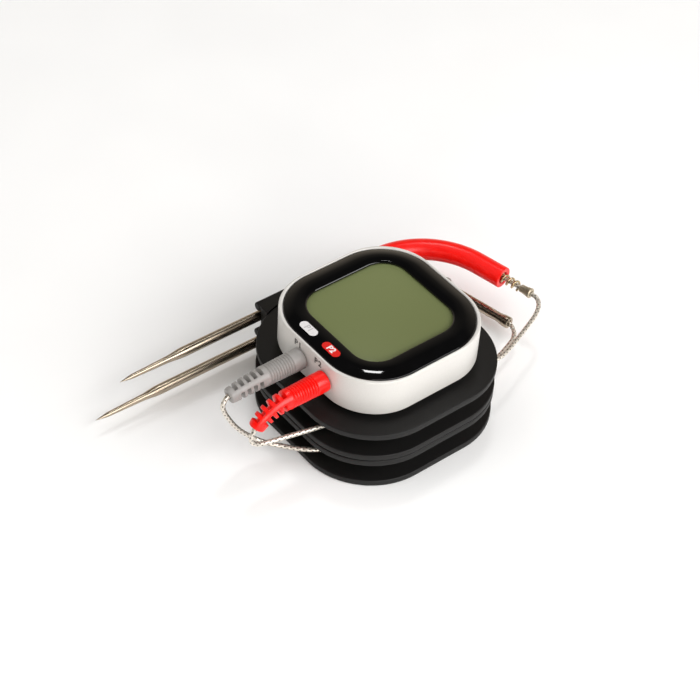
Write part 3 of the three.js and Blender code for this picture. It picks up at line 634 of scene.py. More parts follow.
def winding_path(colour):
    """Clockwise from the tail's end: down in an inner row of turns, back up in an outer row, to the lead."""
    floor_height = REEL_FLOORS[PROBES[colour]["reel"]]
    tail_end, lead_end = Vector(TAIL_ROUTES[colour][-1]), Vector(LEAD_ROUTES[colour][-1])
    first_angle = math.atan2(tail_end.y, tail_end.x)
    last_angle = math.atan2(lead_end.y, lead_end.x)
    sweep = 2 * math.pi * (TURNS_IN + TURNS_OUT) + first_angle - last_angle
    count = round(POINTS_A_TURN * sweep / (2 * math.pi))
    stations = [  # turn, radius, height
        (0, tail_end.xy.length, tail_end.z),
        (0.3, 20.0, floor_height + 9.1),
        (0.7, INNER_ROW, floor_height + 8.9),
        (TURNS_IN - 0.2, INNER_ROW, floor_height + ROW_BOTTOM),
        (TURNS_IN + 0.15, OUTER_ROW, floor_height + ROW_BOTTOM),
        (TURNS_IN + TURNS_OUT - 0.25, OUTER_ROW, floor_height + 7.2),
        (sweep / (2 * math.pi), lead_end.xy.length, lead_end.z),
    ]
    path = []
    for step in range(count + 1):
        turns = sweep * step / count / (2 * math.pi)
        start, end = next(pair for pair in zip(stations, stations[1:]) if turns <= pair[1][0] + 1e-9)
        share = (turns - start[0]) / (end[0] - start[0])
        radius = start[1] + (end[1] - start[1]) * smooth_step(0, 1, share)
        height = start[2] + (end[2] - start[2]) * share
        angle = first_angle - turns * 2 * math.pi
        path.append(Vector((radius * math.cos(angle), radius * math.sin(angle), height)))
    return path


# %% Braided steel
def braided_steel():
    """Stainless steel wire woven over insulation: bright strands, painted shade in the gaps, a soft metallic
    gloss.
    """
    material, tree = blank_material("braided stainless steel")
    place = add(tree, "ShaderNodeUVMap", uv_map="around and along")
    split = add(tree, "ShaderNodeSeparateXYZ", {"Vector": place.outputs["UV"]})
    around = add(tree, "ShaderNodeMath", {0: split.outputs["X"], 1: BRAID_STRANDS}, operation="MULTIPLY")
    forward = add(tree, "ShaderNodeMath", {
        0: split.outputs["Y"], 1: per_metre(BRAID_PITCH),
    }, operation="MULTIPLY")
    covers = []
    for operation in ("ADD", "SUBTRACT"):
        turn = add(tree, "ShaderNodeMath", {0: around.outputs[0], 1: forward.outputs[0]}, operation=operation)
        angle = add(tree, "ShaderNodeMath", {0: turn.outputs[0], 1: math.pi}, operation="MULTIPLY")
        wave = add(tree, "ShaderNodeMath", {0: angle.outputs[0]}, operation="COSINE")
        covers.append(add(tree, "ShaderNodeMath", {0: wave.outputs[0]}, operation="ABSOLUTE").outputs[0])
    cover = add(tree, "ShaderNodeMath", {0: covers[0], 1: covers[1]}, operation="MAXIMUM")
    # Painted shade: the base colour is dark in the gaps between strands, where shade falls, and bright on the
    # strands.
    painted_gap_shade = add(tree, "ShaderNodeMapRange", {"Value": cover.outputs[0], "From Min": 0.3, "From Max": 0.75})
    wires = object_noise(tree, 0.25, detail=2)
    surface(tree, {
        "Base Color": two_tone(tree, painted_gap_shade.outputs["Result"], "#2c2720", "#e6dfd4"),
        "Metallic": 0.85,
        "Roughness": between(tree, wires, 0.28, 0.5),
        "Normal": bumped(tree, wires, 0.03),
    })
    return material


def braid_relief(share, distance):
    """How much of the cable's radius is left where the two sets of strands cross, run or leave a gap."""
    turn, step = BRAID_STRANDS * share, distance / BRAID_PITCH
    cover = max(abs(math.cos(math.pi * (turn + step))), abs(math.cos(math.pi * (turn - step))))
    return 1 - BRAID_RELIEF * (1 - smooth_step(0.2, 0.95, cover))


braid = braided_steel()

# %% The six stretches of cable
cable_facts = {}
for colour in PROBES:
    stretches = {"lead": lead_path(colour), "winding": winding_path(colour), "tail": tail_path(colour)}
    for kind, path in stretches.items():
        wound = kind == "winding"
        skin = tube(path, CABLE_RADIUS, 12 if wound else 24, None if wound else braid_relief)
        made = piece(
            f"{colour}_braided_{kind}", skin, braid, "base" if wound else None,
            [f"{colour}_cable_{kind}"], sharp=60,
        )
        metres = path_length(path) * MM
        cable_facts[made.name] = metres
        if kind == "lead":
            start, end = LEAD_ROUTES[colour][3], LEAD_ROUTES[colour][-4]
            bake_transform(made)
        if kind == "tail":
            end = TAIL_ROUTES[colour][-5]
            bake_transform(made)
print("cable lengths, mm:", {name: round(metres / MM) for name, metres in cable_facts.items()})

# %% [markdown]
# ## Plastics, rubbers and metals
# The reels and clips are ABS moulded in a tool with a fine spark-eroded texture, so they are matt
# with a slight sheen. The display's case is ABS with satin silver-white paint, its front is acrylic
# as glossy as glass, and the plugs and sleeves are silicone rubber. The needles are stainless steel
# tube, polished along their length, so their scratches run that way.

# %% Plastics
def moulded_abs(name, dark, light, roughness=(0.48, 0.62), grain_mm=0.35):
    """ABS from a spark-eroded mould: an even fine grain that spreads the highlights."""
    material, tree = blank_material(name)
    grain = object_noise(tree, grain_mm, detail=4)
    surface(tree, {
        "Base Color": two_tone(tree, between(tree, grain, 0, 1), dark, light),
        "Roughness": between(tree, grain, *roughness),
        "IOR": 1.53,
        "Specular IOR Level": 0.32,
        "Normal": bumped(tree, grain, 0.05, 0.35),
    })
    return material


def painted_abs():
    """Satin silver-white paint: pale flakes under a clear coat, with a little orange peel."""
    material, tree = blank_material("satin painted ABS")
    flakes = object_noise(tree, 0.2, detail=2)
    peel = object_noise(tree, 0.9, detail=1)
    surface(tree, {
        "Base Color": two_tone(tree, between(tree, flakes, 0, 1), "#cfccc8", "#d8d6d2"),
        "Metallic": 0.12,
        "Roughness": between(tree, flakes, 0.36, 0.46),
        "IOR": 1.5,
        "Coat Weight": 0.15,
        "Coat Roughness": 0.25,
        "Normal": bumped(tree, peel, 0.02, 0.3),
    })
    return material


def gloss_acrylic():
    """Clear acrylic printed black behind: deep black with a mirror gloss and faint wiping marks."""
    material, tree = blank_material("black-backed acrylic")
    wiping = object_noise(tree, 6, detail=4)
    surface(tree, {
        "Base Color": two_tone(tree, wiping, "#050505", "#0a0a0b"),
        "Roughness": between(tree, wiping, 0.03, 0.07),
        "IOR": 1.49,
    })
    return material


LCD_HALF = 22


def lcd_film():
    """A reflective LCD that is switched off: olive polarising film under clear plastic, with painted shade
    that darkens it from -X towards +X.
    """
    material, tree = blank_material("LCD polarising film")
    place = add(tree, "ShaderNodeTexCoord")
    split = add(tree, "ShaderNodeSeparateXYZ", {"Vector": place.outputs["Object"]})
    # Painted shade: the colour runs from lighter at -X to darker at +X, standing in for how light falls
    # across the film.
    painted_shade_ramp = add(tree, "ShaderNodeMapRange", {
        "Value": split.outputs["X"], "From Min": -LCD_HALF * MM, "From Max": LCD_HALF * MM,
    })
    frost = object_noise(tree, 0.25, detail=2)
    tone = add(tree, "ShaderNodeMath", {0: frost, 1: 0.12}, operation="MULTIPLY")
    painted_shade_and_frost = add(tree, "ShaderNodeMath", {0: painted_shade_ramp.outputs["Result"], 1: tone.outputs[0]}, operation="ADD")
    surface(tree, {
        "Base Color": two_tone(tree, painted_shade_and_frost.outputs[0], "#6f784d", "#626942"),
        "Roughness": between(tree, frost, 0.42, 0.5),
        "Specular IOR Level": 0.25,
        "Coat Weight": 0.35,
        "Coat Roughness": 0.08,
        "IOR": 1.5,
    })
    return material


black_abs = moulded_abs("black moulded ABS", "#0b0a0a", "#11100f")
white_abs = moulded_abs("white moulded ABS", "#deddd8", "#eceae6")
component_plastic = moulded_abs("black component plastic", "#131314", "#1c1c1d", (0.35, 0.5), 0.5)
silver_paint = painted_abs()
acrylic = gloss_acrylic()
lcd_finish = lcd_film()

# %% Silicone rubbers
def silicone(name, deep, pale, roughness):
    """Moulded silicone rubber: an even colour, a soft gloss and the faint clouding of handling."""
    material, tree = blank_material(name)
    clouds = object_noise(tree, 3, detail=3)
    skin = object_noise(tree, 0.4, detail=2)
    surface(tree, {
        "Base Color": two_tone(tree, between(tree, clouds, 0, 1), deep, pale),
        "Roughness": between(tree, skin, *roughness),
        "IOR": 1.46,
        "Normal": bumped(tree, skin, 0.03, 0.3),
    })
    return material


red_silicone = silicone("red silicone rubber", "#e90b05", "#f2140b", (0.27, 0.35))
grey_silicone = silicone("grey silicone rubber", "#8f8c89", "#959290", (0.33, 0.42))

# %% Metals
def drawn_steel(name, dark, light, roughness, scratch_mm=0.3):
    """Stainless steel polished lengthways: fine scratches along Y that stretch each highlight."""
    material, tree = blank_material(name)
    scratches = object_noise(tree, scratch_mm, detail=3, stretch=(1, 0.02, 1))
    surface(tree, {
        "Base Color": two_tone(tree, between(tree, scratches, 0, 1), dark, light),
        "Metallic": 1.0,
        "Roughness": between(tree, scratches, *roughness),
        "Normal": bumped(tree, scratches, 0.004, 0.1),
    })
    return material


def plated(name, dark, light, roughness=(0.2, 0.32)):
    """A turned or stamped part with thin plating: an even metal with tiny changes in gloss."""
    material, tree = blank_material(name)
    spots = object_noise(tree, 0.8, detail=3)
    surface(tree, {
        "Base Color": two_tone(tree, between(tree, spots, 0, 1), dark, light),
        "Metallic": 1.0,
        "Roughness": between(tree, spots, *roughness),
        "Normal": bumped(tree, spots, 0.01, 0.2),
    })
    return material


steel = drawn_steel("polished stainless steel", "#a89a88", "#baac99", (0.24, 0.31))
screw_steel = plated("zinc-plated steel", "#a8a8a6", "#c4c4c2")
brass = plated("gold-plated brass", "#c39a4e", "#dab768")
spring_steel = plated("spring steel", "#b29a74", "#d2c09c", (0.22, 0.35))
nickel = plated("nickel-plated steel", "#c3b59c", "#d6cab4", (0.4, 0.52))


def solder_resist():
    """Green solder resist over copper: glossy, and a little lighter over the tracks."""
    material, tree = blank_material("solder resist")
    place = add(tree, "ShaderNodeTexCoord")
    tracks = add(tree, "ShaderNodeTexBrick", {
        "Vector": place.outputs["Object"], "Scale": per_metre(6), "Mortar Size": 0.05,
        "Color1": linear("#17492b"), "Color2": linear("#1b5231"), "Mortar": linear("#2c7a48"),
    })
    surface(tree, {
        "Base Color": tracks.outputs["Color"],
        "Roughness": between(tree, tracks.outputs["Fac"], 0.3, 0.4),
    })
    return material


def cell_film():
    """Printed film shrunk on a battery cell: blue, with faint clouds."""
    material, tree = blank_material("printed cell film")
    clouds = object_noise(tree, 4, detail=2)
    surface(tree, {
        "Base Color": two_tone(tree, between(tree, clouds, 0, 1), "#2a4c86", "#335a9c"),
        "Roughness": between(tree, clouds, 0.25, 0.35),
        "Metallic": 0.3,
    })
    return material


board_finish = solder_resist()
cell_finish = cell_film()

# %% Finishes of the CAD nodes that stay as they are
SLOT_FINISHES = {
    "silver_paint": silver_paint, "black_gloss": acrylic, "lcd_olive": lcd_finish, "white_plastic": white_abs,
    "component_black": component_plastic, "board_green": board_finish, "polished_steel": nickel,
    "black_plastic": black_abs, "cell_wrap": cell_finish, "red_silicone": red_silicone,
    "grey_silicone": grey_silicone, "plug_brass": brass, "braided_steel": braid,
}
for part in frame["record"]["subparts"]:
    node = frame["nodes"][part["node"]]
    for material_slot in node.material_slots:
        material_slot.material = SLOT_FINISHES[part["material_slot"]]

# %% [markdown]
# ## Reels
# Under the display stand two equal reels. Each is a base, whose core the cable is wound on, and
# a lid that is screwed to it from below. Both have the same rounded-square flange. The flange is
# a stack of two rounded squares with softened rims, and the core and the screw bosses are turned.

# %% Reel sizes
REEL_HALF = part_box("lower_reel_top")[1].x / MM
REEL_CORNER = 28.4
FLANGE = 2.6
CORE_RADIUS, CORE_WALL = 17.0, 1.8
BOSS_RADIUS, BOSS_CIRCLE = 2.6, 11.5
BOSS_PLACES = [
    (BOSS_CIRCLE * math.cos(angle), BOSS_CIRCLE * math.sin(angle))
    for angle in (math.radians(degrees) for degrees in (90, 210, 330))
]
SCREW_HEAD, SCREW_SHANK, SCREW_HEAD_HEIGHT, SCREW_RECESS = 2.1, 0.9, 1.3, 0.4
RIM = 0.45


def flange(bottom, top):
    """A rounded-square plate with softened rims."""
    return soften(stacked([(REEL_HALF, REEL_CORNER, bottom), (REEL_HALF, REEL_CORNER, top)]), RIM, 4)


def rod(radius, bottom, top, x, y, sides=32):
    """An upright round solid."""
    return turned_up(turned([(0, bottom), (radius, bottom), (radius, top), (0, top)], sides), x, y)


# %% The four reel halves
def screw(name, x, y, bottom, length):
    """A pan-head screw seen from below, with a cross recess."""
    head_top = bottom + SCREW_HEAD_HEIGHT
    profile = [
        (0, bottom + length), (SCREW_SHANK, bottom + length - 0.5), (SCREW_SHANK, head_top),
        (SCREW_HEAD, head_top), (SCREW_HEAD, bottom + 0.4), (SCREW_HEAD - 0.5, bottom + 0.1), (0, bottom),
    ]
    reach, arm = 1.3, 0.25
    cross = [
        moved(block((-half_x, -half_y, bottom - 1), (half_x, half_y, bottom + 0.8)), x, y, 0)
        for half_x, half_y in ((reach, arm), (arm, reach))
    ]
    body = turned_up(turned(profile, 32), x, y)
    piece(f"{name}_detailed", carved(body, cross), screw_steel, "base", [name])


for side, base_floor in REEL_FLOORS.items():
    lid_bottom = base_floor + REEL_HEIGHT - FLANGE
    core = [
        (CORE_RADIUS - CORE_WALL, lid_bottom - GAP), (CORE_RADIUS, lid_bottom - GAP),
        (CORE_RADIUS, base_floor + 1), (CORE_RADIUS - CORE_WALL, base_floor + 1),
        (CORE_RADIUS - CORE_WALL, lid_bottom - GAP),
    ]
    recess_top = base_floor + SCREW_RECESS + SCREW_HEAD_HEIGHT + GAP
    holes = []
    for place in BOSS_PLACES:
        holes.append(rod(SCREW_HEAD + GAP, base_floor - 1, recess_top, *place))
        holes.append(rod(SCREW_SHANK + GAP, base_floor + 1, lid_bottom - 1, *place))
    base_skin = together(carved(flange(base_floor, base_floor + FLANGE), holes), turned_up(turned(core, 96)))
    piece(f"{side}_reel_base_moulding", base_skin, black_abs, "base", [f"{side}_reel_base"])
    bosses = [rod(BOSS_RADIUS, base_floor + FLANGE + GAP, lid_bottom + 1, *place) for place in BOSS_PLACES]
    lid_skin = together(flange(lid_bottom, base_floor + REEL_HEIGHT), *bosses)
    piece(f"{side}_reel_lid_moulding", lid_skin, black_abs, "base", [f"{side}_reel_top"])
    screw_length = REEL_HEIGHT - FLANGE - SCREW_RECESS - 1 - GAP
    for order, place in enumerate(BOSS_PLACES, 1):
        screw(f"{side}_reel_screw_{order}", *place, base_floor + SCREW_RECESS, screw_length)

# %% [markdown]
# ## Probe clips
# A clip on the left of each reel holds its needle. It is a hook: an upright wall with a rounded lip
# along its top that bends over the needle, and a shorter lip under it. Bevelled blocks and a rounded
# bead are joined by a boolean and the needle's groove is cut out, because the clip's end shows that
# cross-section.

# %% Two clips
CLIP_FRONT, CLIP_BACK = -22.3, 12.0
CLIP_MIDDLE = (-8.0, 2.0)
CLIP_WALL, CLIP_BEAD, CLIP_FOOT = 2.1, 1.8, 0.4
LIP_INSET = 0.3
NEEDLE_RADIUS = 2.0


def bead(radius, x, height, front, end):
    """A round rail along Y with softened ends."""
    profile = [(0, front), (radius, front), (radius, end), (0, end)]
    return moved(soften(turned(profile, 40), 0.5, 3), x, 0, height)


for side, base_floor in REEL_FLOORS.items():
    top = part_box(f"{side}_probe_clip")[1].z / MM
    wall_outer = NEEDLE_X + NEEDLE_RADIUS + 0.4
    top_bead = top - CLIP_BEAD
    low_bead = base_floor + CLIP_FOOT + CLIP_BEAD
    needle_height = base_floor + NEEDLE_ABOVE_REEL
    wall = block(
        (wall_outer, CLIP_FRONT, base_floor + CLIP_FOOT), (wall_outer + CLIP_WALL + 3, CLIP_BACK, top),
    )
    lips = [
        block(
            (NEEDLE_X, CLIP_FRONT + LIP_INSET, top_bead), (wall_outer + 1, CLIP_BACK - LIP_INSET, top - 0.02),
        ),
        bead(CLIP_BEAD, NEEDLE_X, top_bead, CLIP_FRONT, CLIP_BACK),
        block(
            (NEEDLE_X, CLIP_MIDDLE[0] + LIP_INSET, base_floor + CLIP_FOOT + 0.02),
            (wall_outer + 1, CLIP_MIDDLE[1] - LIP_INSET, low_bead),
        ),
        bead(CLIP_BEAD, NEEDLE_X, low_bead, *CLIP_MIDDLE),
    ]
    reel_room = stacked([
        (REEL_HALF + GAP, REEL_CORNER + GAP, base_floor - 1), (REEL_HALF + GAP, REEL_CORNER + GAP, top + 1),
    ])
    groove = NEEDLE_RADIUS + GAP
    needle_room = moved(turned([
        (0, CLIP_FRONT - 1), (groove, CLIP_FRONT - 1), (groove, CLIP_BACK + 1), (0, CLIP_BACK + 1),
    ], 40), NEEDLE_X, 0, needle_height)
    hook = carved(carved(soften(wall, 0.4, 3), lips, "UNION"), [reel_room, needle_room])
    tongue = block(
        (wall_outer + 1, CLIP_MIDDLE[0], base_floor + FLANGE + GAP),
        (-REEL_HALF + 6, CLIP_MIDDLE[1], base_floor + REEL_HEIGHT - FLANGE - GAP),
    )
    piece(
        f"{side}_clip_moulding", together(hook, soften(tongue, 0.3, 2)), black_abs, "base",
        [f"{side}_probe_clip"],
    )

# %% [markdown]
# ## Display
# The case is one moulding: an upright wall, a rim that the glossy front sits in, and a ledge under it.
# All of it is a ring of rounded squares bridged one after the other, right round the section of the
# wall and back to the start. The front is made the same way. Its rim falls away in a curve, so that
# it catches a soft band of light along the far edges, and its window is open down to the LCD.

# %% Case
CASE_CORNER = 21.2
CASE_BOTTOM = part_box("front_case")[0].z / MM
CASE_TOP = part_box("front_case")[1].z / MM
CASE_WALL = 1.8
LENS_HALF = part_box("lens")[1].x / MM
PRINT_ROOM = 0.1
LENS_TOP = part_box("lens")[1].z / MM - PRINT_ROOM
LEDGE_TOP = 43.0
LEDGE_HALF, LEDGE_CORNER = 27.6, 12.3
case_rings = [
    (CASE_HALF, CASE_CORNER, CASE_BOTTOM),
    (CASE_HALF, CASE_CORNER, CASE_TOP),
    (LENS_HALF + GAP, CASE_CORNER + GAP, CASE_TOP),
    (LENS_HALF + GAP, CASE_CORNER + GAP, LEDGE_TOP),
    (LEDGE_HALF, LEDGE_CORNER, LEDGE_TOP),
    (LEDGE_HALF, LEDGE_CORNER, LEDGE_TOP - 1),
    (CASE_HALF - CASE_WALL, CASE_CORNER - CASE_WALL, LEDGE_TOP - 1),
    (CASE_HALF - CASE_WALL, CASE_CORNER - CASE_WALL, CASE_BOTTOM),
]
case_skin = soften(stacked(case_rings, frame_shape=True, sides=128), 0.5, 4, 60)


def across_wall(radius, x, front, end):
    """A round cutter along Y at the height of the sockets."""
    return moved(turned([(0, front), (radius, front), (radius, end), (0, end)], 40), x, 0, SOCKET_HEIGHT)


BUTTON_X, BUTTON_RADIUS = 13.0, 3.0
PORT_RADIUS = 1.85
port_front, port_end = -CASE_HALF - 1, -CASE_HALF + CASE_WALL + 1
wall_holes = [across_wall(PORT_RADIUS, x, port_front, port_end) for x in SOCKET_X.values()]
wall_holes.append(across_wall(BUTTON_RADIUS + GAP, BUTTON_X, CASE_HALF - CASE_WALL - 1, CASE_HALF + 1))
piece("case_moulding", carved(case_skin, wall_holes), silver_paint, "base", ["front_case"])

# %% Glossy front
WINDOW_HALF, WINDOW_CORNER = 22.0, 10.2
LENS_SKIRT = 1.0
LENS_PLATE = 1.0
SLOPE_WIDTH, SLOPE_DROP, SLOPE_CURVE = 4.2, 0.95, 1.6
EDGE_ROUND = 0.3


def rim_rings():
    """Rounded squares down the sloped rim, ever steeper, and round its edge to the skirt."""
    rings = []
    for share in along(0, 1, 10):
        inward = SLOPE_WIDTH * (1 - share) + EDGE_ROUND
        rings.append((LENS_HALF - inward, CASE_CORNER - inward, LENS_TOP - SLOPE_DROP * share ** SLOPE_CURVE))
    for angle in along(math.pi / 8, math.pi / 2, 3):
        inward = EDGE_ROUND * (1 - math.sin(angle))
        drop = SLOPE_DROP + EDGE_ROUND * (1 - math.cos(angle))
        rings.append((LENS_HALF - inward, CASE_CORNER - inward, LENS_TOP - drop))
    return rings


lens_rings = [
    (WINDOW_HALF, WINDOW_CORNER, LENS_TOP - LENS_PLATE),
    (WINDOW_HALF, WINDOW_CORNER, LENS_TOP - 0.45),
    (WINDOW_HALF + 0.4, WINDOW_CORNER + 0.4, LENS_TOP - 0.05),
    (WINDOW_HALF + 0.6, WINDOW_CORNER + 0.6, LENS_TOP),
    *rim_rings(),
    (LENS_HALF, CASE_CORNER, LEDGE_TOP + GAP),
    (LENS_HALF - LENS_SKIRT, CASE_CORNER - LENS_SKIRT, LEDGE_TOP + GAP),
    (LENS_HALF - LENS_SKIRT, CASE_CORNER - LENS_SKIRT, LENS_TOP - LENS_PLATE),
]
lens_skin = stacked(lens_rings, frame_shape=True, sides=128)
piece("glossy_front", lens_skin, acrylic, "base", ["lens"], sharp=40)

# %% LCD
lcd_low, lcd_high = (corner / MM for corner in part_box("lcd_glass"))
lcd_rings = [(lcd_high.x, 6.0, lcd_low.z), (lcd_high.x, 6.0, lcd_high.z)]
piece("lcd_panel", soften(stacked(lcd_rings), 0.15, 2), lcd_finish, "base", ["lcd_glass"])

# %% [markdown]
# ## Printing
# Each socket has its number beside it on the case, and a coloured pill on the glossy front above it, so
# that the grey and red plugs find their places. Printing has almost no thickness, so each mark is a thin
# sheet. The characters are text turned into a mesh and laid on the surface.

# %% Print inks
def ink(name, shade, pale):
    """Screen-printing ink: flat colour with a slight unevenness at its edge of coverage."""
    material, tree = blank_material(name)
    cover = object_noise(tree, 0.5, detail=3)
    surface(tree, {
        "Base Color": two_tone(tree, between(tree, cover, 0, 1), shade, pale),
        "Roughness": between(tree, cover, 0.3, 0.4),
    })
    return material


dark_ink = ink("dark grey printing ink", "#3a3733", "#45413c")
white_ink = ink("white printing ink", "#dcdcdc", "#e8e8e8")
shade_ink = ink("mid grey printing ink", "#b4b2b2", "#bcbaba")
grey_ink = ink("light grey printing ink", "#d2d0d0", "#dedcdc")
red_ink = ink("red printing ink", "#c5100a", "#d41a10")
INK_THICKNESS = 0.04

# %% Pills and characters
PILL_LENGTH, PILL_WIDTH = 8.6, 3.6
PILL_Y = -27.3
PILL_X = {"grey": -6.9, "red": 6.3}


def pill(x, y, bottom):
    """A thin plate with round ends along X."""
    bm = bmesh.new()
    verts = bmesh.ops.create_circle(bm, cap_ends=True, segments=48, radius=PILL_WIDTH / 2 * MM)["verts"]
    for vert in verts:
        vert.co.x += math.copysign((PILL_LENGTH - PILL_WIDTH) / 2 * MM, vert.co.x + MM / 1000)
    raised = bmesh.ops.extrude_face_region(bm, geom=bm.faces[:])["geom"]
    top_verts = [item for item in raised if isinstance(item, bmesh.types.BMVert)]
    bmesh.ops.translate(bm, verts=top_verts, vec=(0, 0, INK_THICKNESS * MM))
    bmesh.ops.recalc_face_normals(bm, faces=bm.faces)
    return moved(bm, x, y, bottom)


def lettering(text, height_mm, spacing=1.0, bold_mm=0.1):
    """Text as a thin mesh centred on the origin, facing up."""
    curve = bpy.data.curves.new("letters", "FONT")
    curve.body = text
    curve.size = height_mm * MM / 0.7
    curve.space_character = spacing
    curve.align_x = "CENTER"
    curve.align_y = "CENTER"
    curve.extrude = INK_THICKNESS * MM / 2
    curve.offset = bold_mm * MM
    holder = bpy.data.objects.new("letters", curve)
    bpy.context.collection.objects.link(holder)
    evaluated = holder.evaluated_get(bpy.context.evaluated_depsgraph_get())
    bm = bmesh.new()
    bm.from_mesh(evaluated.to_mesh())
    evaluated.to_mesh_clear()
    bpy.data.objects.remove(holder)
    bpy.data.curves.remove(curve)
    bmesh.ops.remove_doubles(bm, verts=bm.verts, dist=MM / 1000)
    return bm


LABELS = {"grey": "P1", "red": "P2"}
PILL_CLEARANCE = 0.01
PILL_LETTERS_SIZE, CASE_LETTERS_SIZE = 2.4, 2.5
CASE_LETTERS_X = {"grey": -6.2, "red": 5.6}
CASE_LETTERS_HEIGHT = 41.8
for colour, pill_ink, letter_ink in (("grey", grey_ink, shade_ink), ("red", red_ink, white_ink)):
    label = LABELS[colour]
    pill_bottom = LENS_TOP + PILL_CLEARANCE
    piece(f"{label}_pill", pill(PILL_X[colour], PILL_Y, pill_bottom), pill_ink, "base")
    letters_middle = pill_bottom + 1.5 * INK_THICKNESS
    letters = moved(lettering(label, PILL_LETTERS_SIZE), PILL_X[colour], PILL_Y, letters_middle)
    piece(f"{label}_pill_letters", letters, letter_ink, "base")
    upright = tipped_up(lettering(label, CASE_LETTERS_SIZE, 1.25, 0.12))
    place = (CASE_LETTERS_X[colour], -CASE_HALF - INK_THICKNESS / 2, CASE_LETTERS_HEIGHT)
    piece(f"{label}_case_letters", moved(upright, *place), dark_ink, "base")

# %% [markdown]
# ## Back cover, power button and case screws
# The display's back cover shows only as a dark plinth between the case and the reels, and its inside
# holds the cells. It is cut from a rounded plate. The button is a short turned dome in the far wall.

# %% Back cover
back_low, back_high = (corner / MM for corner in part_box("back_cover"))
BACK_CORNER = CASE_CORNER - CASE_HALF + back_high.x
BACK_PLATE = 2.0
LIP_HEIGHT, LIP_ROOT, LIP_WALL = 2.5, 0.6, 1.2
BAY_HALF, BAY_FRONT, BAY_BACK, BAY_WALL = 24.9, -2.8, 19.8, 1.2
MAGNET_Y, MAGNET_RADIUS = -9.6, 4.5
CASE_SCREW_PLACES = [(-22.0, -22.0), (22.0, -22.0), (0.0, 25.8)]
plate_top = back_low.z + BACK_PLATE
plate_rings = [(back_high.x, BACK_CORNER, height) for height in (back_low.z, plate_top)]
plate_skin = soften(stacked(plate_rings), 0.3, 3)
lip_bottom, lip_top = plate_top - LIP_ROOT, plate_top + LIP_HEIGHT
lip = stacked([
    (back_high.x, BACK_CORNER, lip_bottom),
    (back_high.x, BACK_CORNER, lip_top),
    (back_high.x - LIP_WALL, BACK_CORNER - LIP_WALL, lip_top),
    (back_high.x - LIP_WALL, BACK_CORNER - LIP_WALL, lip_bottom),
], frame_shape=True)
bay = block(
    (-BAY_HALF - BAY_WALL, BAY_FRONT - BAY_WALL, plate_top - 1),
    (BAY_HALF + BAY_WALL, BAY_BACK + BAY_WALL, back_high.z),
)
bay_room = block((-BAY_HALF, BAY_FRONT, back_low.z - 1), (BAY_HALF, BAY_BACK, back_high.z + 1))
pockets = [rod(MAGNET_RADIUS + GAP, back_low.z + 0.8, plate_top + 1, 0, MAGNET_Y)]
for place in CASE_SCREW_PLACES:
    pockets.append(rod(SCREW_HEAD + GAP, back_low.z - 1, back_low.z + SCREW_HEAD_HEIGHT, *place))
    pockets.append(rod(SCREW_SHANK + GAP, back_low.z - 1, plate_top + 1, *place))
back_skin = carved(carved(plate_skin, [lip, bay], "UNION"), [bay_room, *pockets])
piece("back_cover_moulding", back_skin, black_abs, "base", ["back_cover"])
for order, place in enumerate(CASE_SCREW_PLACES, 1):
    low, high = (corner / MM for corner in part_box(f"case_screw_{order}"))
    screw(f"case_screw_{order}", *place, low.z, high.z - low.z)

# %% Power button
button_low, button_high = (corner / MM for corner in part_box("power_button"))
button_profile = [(0, button_low.y), (BUTTON_RADIUS, button_low.y), (BUTTON_RADIUS, button_high.y - 0.35)]
button_profile += [(BUTTON_RADIUS - 0.35, button_high.y), (BUTTON_RADIUS - 0.7, button_high.y)]
button_profile += [(BUTTON_RADIUS * 0.5, button_high.y - 0.25), (0, button_high.y - 0.35)]
button_skin = moved(soften(turned(button_profile, 64), 0.1, 2), BUTTON_X, 0, SOCKET_HEIGHT)
piece("power_button_cap", button_skin, black_abs, "power_button", ["power_button"])

# %% [markdown]
# ## Plugs
# Each plug is a silicone boot over a jack. From the case outwards it has a smooth collar, a grip of ten
# fine grooves, a short plain stretch and a strain relief, where two rows of slots leave round fins and
# a plain spine on each side, so that the relief bends softly with the cable. The boot is spun from
# a fine profile, and the slots are then pressed in: every point of the skin inside a slot is
# moved towards the axis by a smooth function, which also rounds the slots' edges as a mould does.

# %% Boot profile and slots
PLUG_RADIUS, RELIEF_END_RADIUS = 4.1, 3.0
COLLAR, GROOVES, GROOVE_PITCH, GROOVE_DEPTH = 4.8, 10, 1.1, 0.5
SLOT_PITCH, SLOT_WIDTH, SLOT_EDGE, SLOT_FLOOR = 2.65, 1.25, 0.3, 1.6
SLOT_ROWS = [(math.radians(136), 0.0), (math.radians(316), 0.5)]
SLOT_SPREAD = math.radians(73)
BEAD_START = 29.9
GRIP_TAPER = 0.02
RELIEF_STEP = 0.15
BOOT_BORE = 1.6


def boot_radius(distance):
    """The boot's outer radius before its slots are pressed in."""
    grip_end = COLLAR + GROOVES * GROOVE_PITCH
    if distance < COLLAR:
        return PLUG_RADIUS
    if distance < grip_end:
        wave = 0.5 - 0.5 * math.cos(2 * math.pi * (distance - COLLAR) / GROOVE_PITCH)
        return PLUG_RADIUS - GRIP_TAPER * (distance - COLLAR) - GROOVE_DEPTH * wave ** 2
    share = smooth_step(grip_end, PLUG_GRIP + 1.5, distance)
    taper = ((distance - grip_end) / (PLUG_GRIP + PLUG_RELIEF - grip_end)) ** 2
    narrowing = PLUG_RADIUS - 2 * RELIEF_STEP - RELIEF_END_RADIUS
    return PLUG_RADIUS - RELIEF_STEP * (1 + share) - narrowing * taper


